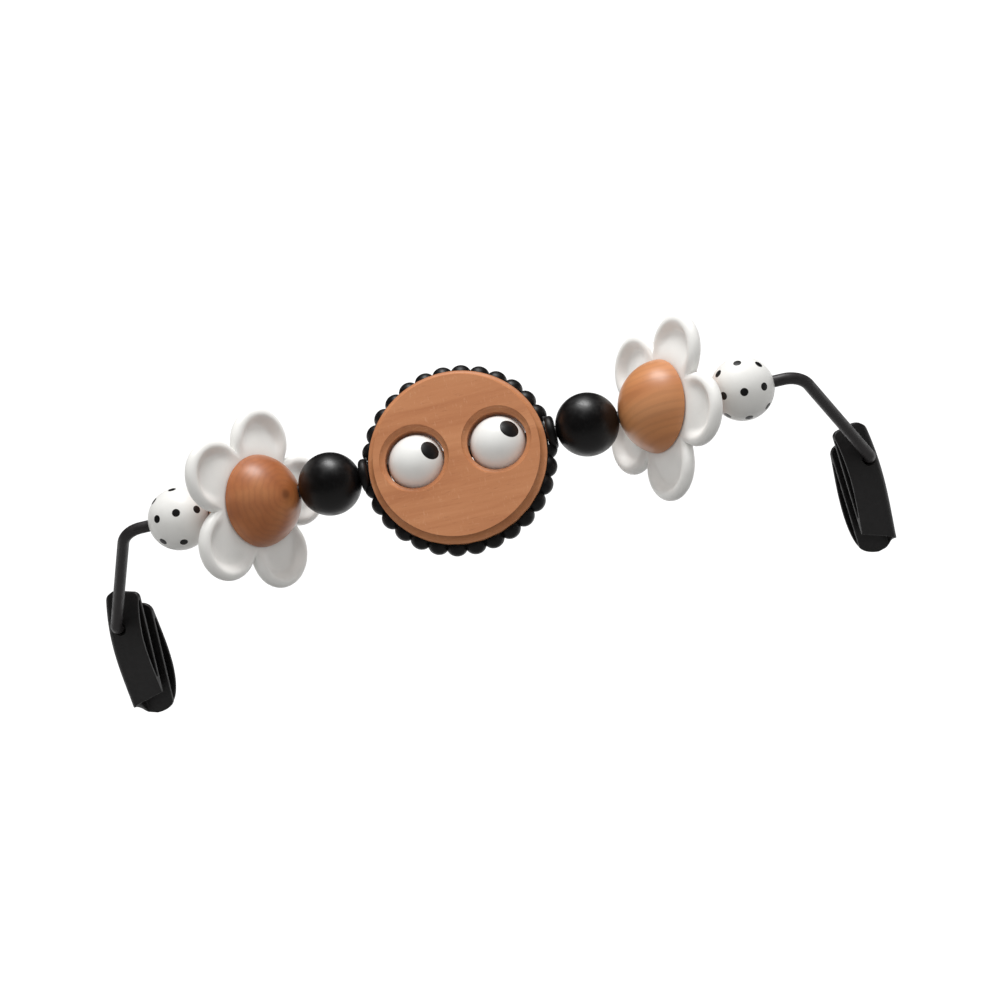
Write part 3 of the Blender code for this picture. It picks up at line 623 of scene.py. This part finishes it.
def disc_half(name):
    """One half of the disc, facing +Z, with a cove round its edge and round each eye hole."""
    outline = [(0, DISC_JOINT), (DISC_INNER_RADIUS, DISC_JOINT), (DISC_INNER_RADIUS, DISC_SEAT)]
    outline += [(DISC_RADIUS, DISC_SEAT)]
    cove_depth = DISC_HALF_THICKNESS - DISC_SEAT - DISC_SIDE_HEIGHT
    for across, down in arc((0, 0), 1, 90, 0, DISC_COVE_STEPS):
        outline.append((DISC_RADIUS - DISC_COVE_WIDTH * across, DISC_HALF_THICKNESS - cove_depth * down))
    outline += [(DISC_FLAT_SHARE * DISC_RADIUS, DISC_HALF_THICKNESS), (0, DISC_HALF_THICKNESS)]
    half = spun(name, outline, DISC_STEPS)
    for place, side in SIDES.items():
        combine(half, turned_mesh(eye_cutter(place), Matrix.Translation((side * EYE_X, DISC_DROP, 0))))
    combine(half, turned_mesh(bore_cutter(DISC_BORE_REACH), Matrix.Translation((0, DISC_DROP, 0))))
    add_modifier(
        half, "BEVEL", width=DISC_BEVEL, segments=3, limit_method="ANGLE",
        angle_limit=radians(DISC_BEVEL_FROM), harden_normals=False, use_clamp_overlap=True,
    )
    add_modifier(half, "WEIGHTED_NORMAL", weight=80)
    settle(half, None)
    return half


def eye_cutter(place):
    """A hole with a cove at its mouth: flat near the eye and steep at the outer edge."""
    top = DISC_HALF_THICKNESS
    across = COVE_RADIUS - EYE_HOLE_RADIUS
    cove = []
    for i in range(DISC_COVE_STEPS + 1):
        turn = pi / 2 * i / DISC_COVE_STEPS
        cove.append((EYE_HOLE_RADIUS + across * sin(turn), top + COVE_LIFT - COVE_DEPTH * cos(turn)))
    outline = [(0, -CUT_OVERRUN), (EYE_HOLE_RADIUS, -CUT_OVERRUN)] + cove
    outline += [(COVE_RADIUS, top + CUT_OVERRUN), (0, top + CUT_OVERRUN)]
    return spun(f"eye_cutter_{place}", outline, TURNED_SIDES)


def ring_section(step):
    """The ring's section at this step round the disc: a flat band between the halves, and a slice of a
    round lobe beyond their edge."""
    from_lobe = 2 * pi / LOBE_COUNT * abs(step % LOBE_STEPS / LOBE_STEPS - 1 / 2)
    slice_radius = half_chord(LOBE_RADIUS, LOBE_CENTRE_RADIUS * sin(from_lobe))
    start = degrees(acos((RING_EDGE_RADIUS - LOBE_CENTRE_RADIUS) / slice_radius))
    under = [(RING_INNER_RADIUS, -RING_HALF_THICKNESS), (RING_EDGE_RADIUS, -RING_HALF_THICKNESS)]
    lobe = arc((LOBE_CENTRE_RADIUS, 0), slice_radius, -start, start, LOBE_ARC_STEPS)
    over = [(RING_EDGE_RADIUS, RING_HALF_THICKNESS), (RING_INNER_RADIUS, RING_HALF_THICKNESS)]
    return under + lobe + over


def make_ring():
    bm = bmesh.new()
    count = LOBE_COUNT * LOBE_STEPS
    rings = []
    for step in range(count):
        angle = 2 * pi * step / count
        rings.append([bm.verts.new((r * cos(angle), r * sin(angle), h)) for r, h in ring_section(step)])
    join_rings(bm, rings)
    ring = new_object("beaded_ring", bm, RING_SHARP)
    combine(ring, turned_mesh(bore_cutter(DISC_BORE_REACH), Matrix.Translation((0, DISC_DROP, 0))))
    half = (COLLAR_SEAT_END - COLLAR_SEAT_START) / 2
    for side in SIDES.values():
        seat = spun("seat", cylinder_outline(COLLAR_RADIUS + TOUCH_GAP, half), COLLAR_SIDES)
        turned_mesh(seat, ALONG_BAR)
        middle = Vector((side * (COLLAR_SEAT_START + half), DISC_DROP, 0))
        combine(ring, turned_mesh(seat, Matrix.Translation(middle)))
    return ring


def make_disc():
    here = disc_frame()
    front = disc_half("face_front")
    back = disc_half("face_back")
    turned_mesh(back, Matrix.Rotation(pi, 4, "Y"))
    place_piece(front, here, MATERIALS["disc"], "disc", "disc_front")
    place_piece(back, here, MATERIALS["disc"], "disc", "disc_back")
    place_piece(make_ring(), here, MATERIALS["ring"], "disc", "disc_ring")


# Flowers
def flower_frame(place, side):
    """Z along the flower's axis, Y up: its place and turn on the bar."""
    angle = radians(FLOWER_AXIS_TO_BAR)
    axis = Vector((-side * cos(angle), -sin(angle), 0))
    up = Vector((0, 0, 1))
    tilt = Matrix((up.cross(axis), up, axis)).transposed().to_4x4()
    return on_bar(side * FLOWER_X, -FLOWER_RISES[place]) @ tilt


def dome(name, side):
    """A flower's dome, facing +Z, bored for the rod."""
    start = degrees(asin((DOME_FACE + DOME_EDGE_ROUND) / FLOWER_RADIUS))
    edge = FLOWER_WIDE_RADIUS * cos(radians(start)) - DOME_EDGE_ROUND
    outline = [(0, HUB_SEAT_END), (HUB_SEAT_RADIUS, HUB_SEAT_END), (HUB_SEAT_RADIUS, DOME_FACE)]
    unit_curve = arc((0, 0), 1, start, 90, DOME_CURVE_STEPS)
    curve = [(FLOWER_WIDE_RADIUS * across, FLOWER_RADIUS * up) for across, up in unit_curve]
    corner = [(edge - DOME_FACE_BAND, DOME_FACE), (edge, DOME_FACE), curve[0], curve[1]]
    outline += rounded(corner, DOME_CORNER_ROUND)[:-1]
    outline += curve[1:-1] + [(0, FLOWER_RADIUS)]
    made = spun(name, outline, TURNED_SIDES)
    # The bar lies in the flower's X-Z plane, at its angle to the flower's axis
    lean = Matrix.Rotation(radians(side * (90 - FLOWER_AXIS_TO_BAR)), 4, "Y")
    combine(made, turned_mesh(bore_cutter(DOME_BORE_REACH), lean))
    return made


def petal_edge(turn):
    aside = PETAL_REACH * sin(turn)
    return PETAL_REACH * cos(turn) + half_chord(PETAL_RADIUS, aside)


def petal_inset(turn, radius):
    """How far in from the petals' edge a place is. Near the hub, the corner between two petals is
    nearest."""
    corner_turn = pi / PETAL_COUNT
    corner_radius = petal_edge(corner_turn)
    corner = (corner_radius * cos(corner_turn) - PETAL_REACH, corner_radius * sin(corner_turn))
    place = (radius * cos(turn) - PETAL_REACH, radius * sin(abs(turn)))
    if atan2(place[1], place[0]) > atan2(corner[1], corner[0]):
        return dist(place, corner)
    return PETAL_RADIUS - hypot(*place)


def rim_height(inset):
    """Height of the petals' round rim at this distance in from their edge."""
    if inset < PETAL_RIM:
        return PETAL_HALF_THICKNESS * sqrt(max(0.0, 1 - (1 - inset / PETAL_RIM) ** 2))
    return PETAL_HALF_THICKNESS


def bowl_depth(inset, radius):
    """How deep the petals' bowl is at this distance in from their edge and this radius of the flower."""
    from_rim = ease(inset - PETAL_RIM, PETAL_BOWL_RUN)
    from_dome = ease(radius - FLOWER_WIDE_RADIUS, PETAL_BASE_RUN)
    return PETAL_BOWL_DEPTH * from_rim * from_dome


def petal_lift(radius):
    """How far forward the petals curve at this radius of the flower."""
    return PETAL_FORWARD * ease(radius - FLOWER_WIDE_RADIUS, PETAL_FORWARD_RUN)


def petal_section(turn):
    """Points (radius, height) of the petal ring's closed section in one direction."""
    edge = petal_edge(turn)
    front = []
    back = []
    for i in range(PETAL_SECTION_STEPS):
        share = 1 - (1 - i / PETAL_SECTION_STEPS) ** PETAL_STEP_POWER
        radius = PETAL_INNER_RADIUS + (edge - PETAL_INNER_RADIUS) * share
        inset = petal_inset(turn, radius)
        half = rim_height(inset)
        middle = petal_lift(radius)
        front.append((radius, middle + half - bowl_depth(inset, radius)))
        back.append((radius, middle - half))
    return front + [(edge, petal_lift(edge))] + back[::-1]


def petals(name, turned_by):
    bm = bmesh.new()
    pitch = 2 * pi / PETAL_COUNT
    count = PETAL_COUNT * PETAL_SIDE_STEPS
    rings = []
    for i in range(count):
        angle = 2 * pi * i / count
        from_middle = (angle + pitch / 2) % pitch - pitch / 2
        direction = angle + radians(90 + turned_by)
        section = petal_section(from_middle)
        rings.append([bm.verts.new((r * cos(direction), r * sin(direction), h)) for r, h in section])
    join_rings(bm, rings)
    return new_object(name, bm, PETAL_SHARP)


def make_flower(place, side):
    here = flower_frame(place, side)
    body = f"flower_{place}"
    wood = MATERIALS[f"dome_{place}"]
    front = dome(f"dome_front_{place}", side)
    place_piece(front, here, wood, body, f"flower_front_{place}")
    back = turned_mesh(dome(f"dome_back_{place}", -side), Matrix.Rotation(pi, 4, "X"))
    place_piece(back, here, wood, body, f"flower_back_{place}")
    blossom = petals(f"blossom_{place}", PETAL_TURNS[place])
    place_piece(blossom, here, MATERIALS["petal"], f"petals_{place}", f"petals_{place}")


# Clips
def hump(share, peak_share, power=1.0):
    """A smooth hump, 0 at both ends and 1 at the peak's share of the way. A power below 1 fills it out."""
    if not 0 < share < 1:
        return 0.0
    return sin(pi * share ** (log(0.5) / log(peak_share))) ** power


def front_arch(l, low=FRONT_LOW):
    return FRONT_BULGE * hump((l - low) / (FRONT_TOP - low), FRONT_PEAK_SHARE, FRONT_POWER)


def back_arch(l, low=BACK_LOW):
    return BACK_BULGE * hump((l - low) / (BACK_TOP - low), BACK_PEAK_SHARE)


# Each limb's lower and upper end, arch, and side of the slot
LIMBS = {
    "front": (FRONT_LOW, FRONT_TOP, front_arch, -1),
    "back": (BACK_LOW, BACK_TOP, back_arch, 1),
}


def front_low(share):
    """The front limb's lower end at this share of the way across: it sinks outwards, and a little more
    at the outer side."""
    sink = tan(radians(FRONT_LOW_SLANT)) * MEAN_CLIP_WIDTH * share
    return FRONT_LOW - sink - FRONT_LOW_DROP * ease(share - FRONT_LOW_TURN_SHARE, 1 - FRONT_LOW_TURN_SHARE)


def back_low(share):
    """The back limb's lower end, which curves round below and sinks outwards too."""
    return BACK_LOW - BACK_LOW_BULGE * 2 * sqrt(share * (1 - share)) - BACK_LOW_SINK * share


def heights(start, end):
    """Heights between two ends, closer together near each of them."""
    return [start + (end - start) * (1 - cos(pi * i / ARCH_STEPS)) / 2 for i in range(ARCH_STEPS + 1)]


class Clip:
    """One clip, made in its own frame: X across, Y to the back and Z up."""

    inner = CLIP_INNER

    def __init__(self, place, side):
        self.place = place
        self.side = side
        self.width = CLIP_WIDTHS[place]
        self.outer = self.inner + self.width
        self.low_widening = LOW_WIDENINGS[place]

    def widening(self, l):
        """How much wider the clip is at this height than at its top."""
        return self.low_widening * (FRONT_TOP - l) / (FRONT_TOP - BACK_LOW)

    def side_outline(self, share, inset):
        """The section from front to back, at this share of the way across, thinned by the inset."""
        face = SLOT_GAP / 2 + CLIP_WALL - inset
        slot_half = min(SLOT_GAP / 2, face - TOUCH_GAP)
        front_end = front_low(share)
        back_end = back_low(share)
        front = [(-face - front_arch(l, front_end), l) for l in heights(front_end, FRONT_TOP)]
        back = [(face + back_arch(l, back_end), l) for l in heights(BACK_TOP, back_end)]
        top = [(-slot_half, FRONT_TOP), (slot_half, BACK_TOP)]
        under = [(face, back_end - CUT_OVERRUN), (-face, front_end - CUT_OVERRUN)]
        return front + top + back + under

    def body(self):
        """The uncut clip: its section carried across, with the edges of the outer side rounded."""
        rounding = self.outer - OUTER_EDGE_ROUND
        flat = [
            (self.inner + (rounding - self.inner) * i / OUTER_EDGE_STEPS, 0.0)
            for i in range(OUTER_EDGE_STEPS)
        ]
        turns = [radians(90 * i / OUTER_EDGE_STEPS) for i in range(OUTER_EDGE_STEPS + 1)]
        flat += [(rounding + OUTER_EDGE_ROUND * sin(t), OUTER_EDGE_ROUND * (1 - cos(t))) for t in turns]
        outlines = []
        for w, inset in flat:
            share = min(1.0, (w - self.inner) / self.width)
            outline = self.side_outline(share, inset)
            outlines.append([(self.side * (w + share * self.widening(l)), n, l) for n, l in outline])
        return loft(f"hook_{self.place}", outlines)

    def prism(self, name, outline, start, end):
        """An outline of (n, l) points carried along w."""
        return loft(name, [[(self.side * w, n, l) for n, l in outline] for w in (start, end)])

    def front_prism(self, name, outline, start, end):
        """An outline of (w, l) points carried along n."""
        return loft(name, [[(self.side * w, n, l) for w, l in outline] for n in (start, end)])

    def front_outline(self, low):
        """The clip seen from the front, with its two upper corners rounded."""
        top_outer = (self.outer - TOP_OUTER_ROUND, FRONT_TOP - TOP_OUTER_ROUND)
        top_inner = (self.inner + TOP_INNER_ROUND, FRONT_TOP - TOP_INNER_ROUND)
        outline = [(self.inner, low), (self.outer + self.widening(low), low)]
        outline += arc(top_outer, TOP_OUTER_ROUND, 0, 90, CORNER_ARC_STEPS)
        return outline + arc(top_inner, TOP_INNER_ROUND, 90, 180, CORNER_ARC_STEPS)

    def low_corner(self, w):
        """The height of the rounded lower outer corner, at this place across the clip."""
        along = max(0.0, 1 + (w - self.outer - self.low_widening) / LOW_CORNER_WIDTH)
        return LOW_CORNER_TOP - LOW_CORNER_HEIGHT * sqrt(max(0.0, 1 - along**2))

    def lower_edge(self, limb, deep):
        """What lies below a limb's lower edge, with the outer corner rounded."""
        edge = []
        for step in range(LOW_EDGE_STEPS + 1):
            share = (1 - cos(pi * step / LOW_EDGE_STEPS)) / 2
            l = back_low(share)
            if limb == "front":
                l = max(l, front_low(share))
            w = self.inner + share * (self.width + self.low_widening)
            edge.append((w, max(l, self.low_corner(w))))
        start = (self.inner - CUT_OVERRUN, edge[0][1])
        end = (edge[-1][0] + CUT_OVERRUN, edge[-1][1])
        return [start] + edge + [end, (end[0], deep), (start[0], deep)]

    def under_cutter(self, thick, deep):
        """Cuts under both limbs, and on a slope between them across the outer side."""
        half = SLOT_GAP / 2
        stations = ((-thick, "front"), (-half, "front"), (half, "back"), (thick, "back"))
        outlines = []
        for n, limb in stations:
            outlines.append([(self.side * w, n, l) for w, l in self.lower_edge(limb, deep)])
        return loft("under", outlines)

    def pocket(self, limb, depth):
        """The cored-out hollow between a limb's wall and its arch, open on the clip's inner side."""
        start, end, arch, sign = LIMBS[limb]
        face = sign * (SLOT_GAP / 2 + CLIP_WALL)
        hollow = [(l, arch(l) - CLIP_SKIN) for l in heights(start, end) if arch(l) > CLIP_SKIN + TOUCH_GAP]
        outline = [(face, hollow[0][0])]
        outline += [(face + sign * room, l) for l, room in hollow]
        outline += [(face, hollow[-1][0])]
        return self.prism(f"{limb}_pocket", outline, self.inner - CUT_OVERRUN, self.inner + depth)

    def hole_place(self):
        """The rod's hole: its place across and up the clip, and the arch's surface there."""
        l = FRONT_TOP - HOLE_BELOW_TOP
        return HOLE_ACROSS, l, -SLOT_GAP / 2 - CLIP_WALL - front_arch(l)

    def make(self):
        thick = SLOT_GAP + 2 * CLIP_WALL + FRONT_BULGE + BACK_BULGE
        deep = BACK_LOW - BACK_LOW_BULGE - BACK_LOW_SINK - 2 * CUT_OVERRUN
        clip = self.body()
        combine(clip, self.front_prism("front_view", self.front_outline(deep), -thick, thick), "INTERSECT")
        combine(clip, self.under_cutter(thick, deep))
        slot_half = SLOT_GAP / 2
        top = FRONT_TOP + CUT_OVERRUN
        slot = [(-slot_half, deep), (slot_half, deep), (slot_half, top), (-slot_half, top)]
        combine(clip, self.prism("slot", slot, self.inner - CUT_OVERRUN, self.inner + SLOT_DEPTH))
        hole_w, hole_l, surface = self.hole_place()
        combine(clip, self.pocket("front", hole_w - HOLE_RADIUS - POCKET_WALL - self.inner))
        combine(clip, self.pocket("back", SLOT_DEPTH))
        corner = (self.inner + BACK_CORNER_ROUND, BACK_TOP - BACK_CORNER_ROUND)
        past = (self.inner - CUT_OVERRUN, BACK_TOP + CUT_OVERRUN)
        outline = arc(corner, BACK_CORNER_ROUND, 90, 180, CORNER_ARC_STEPS)
        outline += [(past[0], corner[1]), past, (corner[0], past[1])]
        combine(clip, self.front_prism("corner", outline, 0, thick))
        add_modifier(clip, "REMESH", mode="VOXEL", voxel_size=CLIP_VOXEL, use_smooth_shade=True)
        add_modifier(clip, "SMOOTH", factor=CLIP_SMOOTHING, iterations=CLIP_SMOOTH_ROUNDS)
        settle(clip, 180)
        depth = -slot_half - HOLE_FLOOR - surface
        flare = HOLE_RADIUS + HOLE_FLARE
        outline = [(0, -CUT_OVERRUN), (flare + HOLE_MOUTH_SPREAD, -CUT_OVERRUN)]
        outline += [(flare, -HOLE_MOUTH_LIFT), HOLE_MOUTH_MIDDLE, (HOLE_RADIUS, HOLE_MOUTH_DEPTH)]
        outline += [(HOLE_RADIUS, depth), (0, depth)]
        into_clip = Matrix.Translation((self.side * hole_w, surface, hole_l)) @ Matrix.Rotation(
            radians(-90), 4, "X"
        )
        combine(clip, turned_mesh(spun("hole", outline, HOLE_SIDES), into_clip))
        return clip


def clip_frame(side):
    turn = Matrix.Rotation(radians(side * CLIP_TOE), 4, "Z") @ Matrix.Rotation(
        radians(-side * CLIP_LEAN), 4, "Y"
    )
    return Matrix.Translation((side * CLIP_X, 0, 0)) @ turn


def make_clip(place, side):
    clip = Clip(place, side).make()
    place_piece(clip, clip_frame(side), MATERIALS["clip"], "frame", f"clip_{place}")


# Rod
def bend(before, corner, after, radius, steps):
    """Points of the arc that rounds a corner of the rod's centre line."""
    back = (before - corner).normalized()
    ahead = (after - corner).normalized()
    half = back.angle(ahead) / 2
    centre = corner + (back + ahead).normalized() * radius / sin(half)
    start = corner + back * radius / tan(half) - centre
    axis = back.cross(ahead).normalized()
    sweep = -(pi - 2 * half)
    return [centre + Matrix.Rotation(sweep * i / steps, 3, axis) @ start for i in range(steps + 1)]


def rod_half(place, side):
    """The centre line from the middle of the bar to its end inside one clip."""
    hole_w, hole_l, surface = Clip(place, side).hole_place()
    to_clip = clip_frame(side)
    n = to_clip.to_3x3() @ Vector((0, 1, 0))
    mouth = to_clip @ Vector((side * hole_w, surface, hole_l))
    end = mouth - n * (surface + SLOT_GAP / 2 + HOLE_FLOOR + TOUCH_GAP)
    corner = BAR_CENTRE + Vector((side * CORNER_HALF_SPAN, 0, 0))
    hook = mouth
    for _ in range(HOOK_ROUNDS):
        turn = (corner - hook).angle(n)
        hook = mouth - n * (HOOK_RADIUS * tan((pi - turn) / 2) - HOOK_SEAT)
    points = bend(BAR_CENTRE, corner, hook, CORNER_RADIUS, BEND_STEPS)
    points += bend(corner, hook, end, HOOK_RADIUS, BEND_STEPS)
    return points + [end]


def tube(name, route, radius, sides):
    """A round tube along a route, with its sides kept from twisting."""
    bm = bmesh.new()
    directions = []
    for i in range(len(route)):
        before = route[max(i - 1, 0)]
        after = route[min(i + 1, len(route) - 1)]
        directions.append((after - before).normalized())
    side = directions[0].orthogonal().normalized()
    rings = []
    for place, direction in zip(route, directions):
        side = (side - direction * side.dot(direction)).normalized()
        other = direction.cross(side)
        ring = []
        for j in range(sides):
            turn = 2 * pi * j / sides
            ring.append(bm.verts.new(place + (side * cos(turn) + other * sin(turn)) * radius))
        rings.append(ring)
    join_rings(bm, rings, closed=False)
    bm.faces.new(rings[0])
    bm.faces.new(rings[-1])
    return new_object(name, bm)


def make_rod():
    route = rod_half("left", -1)[::-1] + rod_half("right", 1)
    rod = tube("wire", route, ROD_RADIUS, ROD_SIDES)
    place_piece(rod, Matrix.Identity(4), MATERIALS["rod"], "frame", "rod")


# The rest of the solids keep their shape and get a finer material
def dress_hidden_nodes():
    for name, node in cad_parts.items():
        if name.startswith(("flower_hub", "disc_dowel")):
            node.data.materials.clear()
            node.data.materials.append(MATERIALS["hub"])


# Camera, light and floor
CAMERA_DISTANCE = 1.101
CAMERA_LENS = 79.27
CAMERA_PITCH = 20.0
CAMERA_YAW = -0.0790158
CAMERA_ROLL = -0.2253319
CAMERA_SHIFT = Vector((-0.02095, 0, 0.02281))
SENSOR_WIDTH = 36
SOFTBOX_PLACE = (-0.10, -0.16, 0.85)
SOFTBOX_SIZE = (0.46, 0.30)
SOFTBOX_POWER = 5.6
ROOM_COLOUR = (1.0, 0.995, 0.985, 1)
ROOM_STRENGTH = 0.76
FLOOR_HEIGHT = -0.50
FLOOR_CORNERS = ((-12, -9), (12, -9), (12, 24), (-12, 24))
GLOW_START = 0.05
GLOW_END = 0.30
GLOW_STRENGTH = 0.95


def camera_turn():
    """Turns a direction of the model into one of the camera: X right, Y away from it and Z up."""
    roll = Matrix.Rotation(CAMERA_ROLL, 3, "Y")
    yaw = Matrix.Rotation(CAMERA_YAW, 3, "Z")
    return roll @ yaw @ Matrix.Rotation(radians(CAMERA_PITCH), 3, "X")


def from_camera(x, away, up):
    """A place given from the bar's centre as the camera sees it, in the model's frame."""
    return BAR_CENTRE + camera_turn().transposed() @ (Vector((x, away, up)) - CAMERA_SHIFT)


def make_camera():
    data = bpy.data.cameras.new("camera")
    data.lens = CAMERA_LENS
    data.sensor_width = SENSOR_WIDTH
    data.clip_start = 0.01
    data.clip_end = 100
    camera = bpy.data.objects.new("camera", data)
    bpy.context.scene.collection.objects.link(camera)
    back = camera_turn().transposed()
    columns = (back @ Vector((1, 0, 0)), back @ Vector((0, 0, 1)), back @ Vector((0, -1, 0)))
    place = Matrix(columns).transposed().to_4x4()
    place.translation = from_camera(0, -CAMERA_DISTANCE, 0)
    camera.matrix_world = place
    bpy.context.scene.camera = camera


def area_light(name, at, target, size, power):
    data = bpy.data.lights.new(name, "AREA")
    data.shape = "RECTANGLE"
    data.size, data.size_y = size
    data.energy = power
    light = bpy.data.objects.new(name, data)
    bpy.context.scene.collection.objects.link(light)
    light.location = at
    light.rotation_euler = (target - at).to_track_quat("-Z", "Y").to_euler()


def make_light():
    """A softbox above, and an even white room that only lights the matt side of things."""
    area_light("softbox", from_camera(*SOFTBOX_PLACE), BAR_CENTRE, SOFTBOX_SIZE, SOFTBOX_POWER)
    world = bpy.data.worlds.new("studio")
    bpy.context.scene.world = world
    world.use_nodes = True
    background = world.node_tree.nodes["Background"]
    background.inputs["Color"].default_value = ROOM_COLOUR
    background.inputs["Strength"].default_value = ROOM_STRENGTH
    world.cycles_visibility.glossy = False


def make_floor():
    """A wide table that glows like a light table from just behind the object on."""
    bm = bmesh.new()
    bm.faces.new([bm.verts.new((x, y, 0)) for x, y in FLOOR_CORNERS])
    floor = new_object("floor", bm)
    floor.location.z = FLOOR_HEIGHT
    made = Nodes("glowing_floor")
    split = made.tree.nodes.new("ShaderNodeSeparateXYZ")
    made.link(made.coordinates(), split.inputs["Vector"])
    made.set(made.shader, Base_Color=(0.25, 0.25, 0.25, 1), Roughness=0.9, Specular_IOR_Level=0.0)
    made.set(made.shader, Emission_Color=(1, 1, 1, 1))
    glow = made.range(split.outputs["Y"], GLOW_START, GLOW_END, 0.0, GLOW_STRENGTH)
    made.set(made.shader, Emission_Strength=glow)
    floor.data.materials.append(made.material)


bpy.context.scene.view_settings.view_transform = "Standard"
make_camera()
make_light()
make_floor()
make_rod()
make_disc()
for place, side in SIDES.items():
    make_eye(place, side)
    make_beads(place, side)
    make_flower(place, side)
    make_dotted_ball(place, side)
    make_clip(place, side)
dress_hidden_nodes()
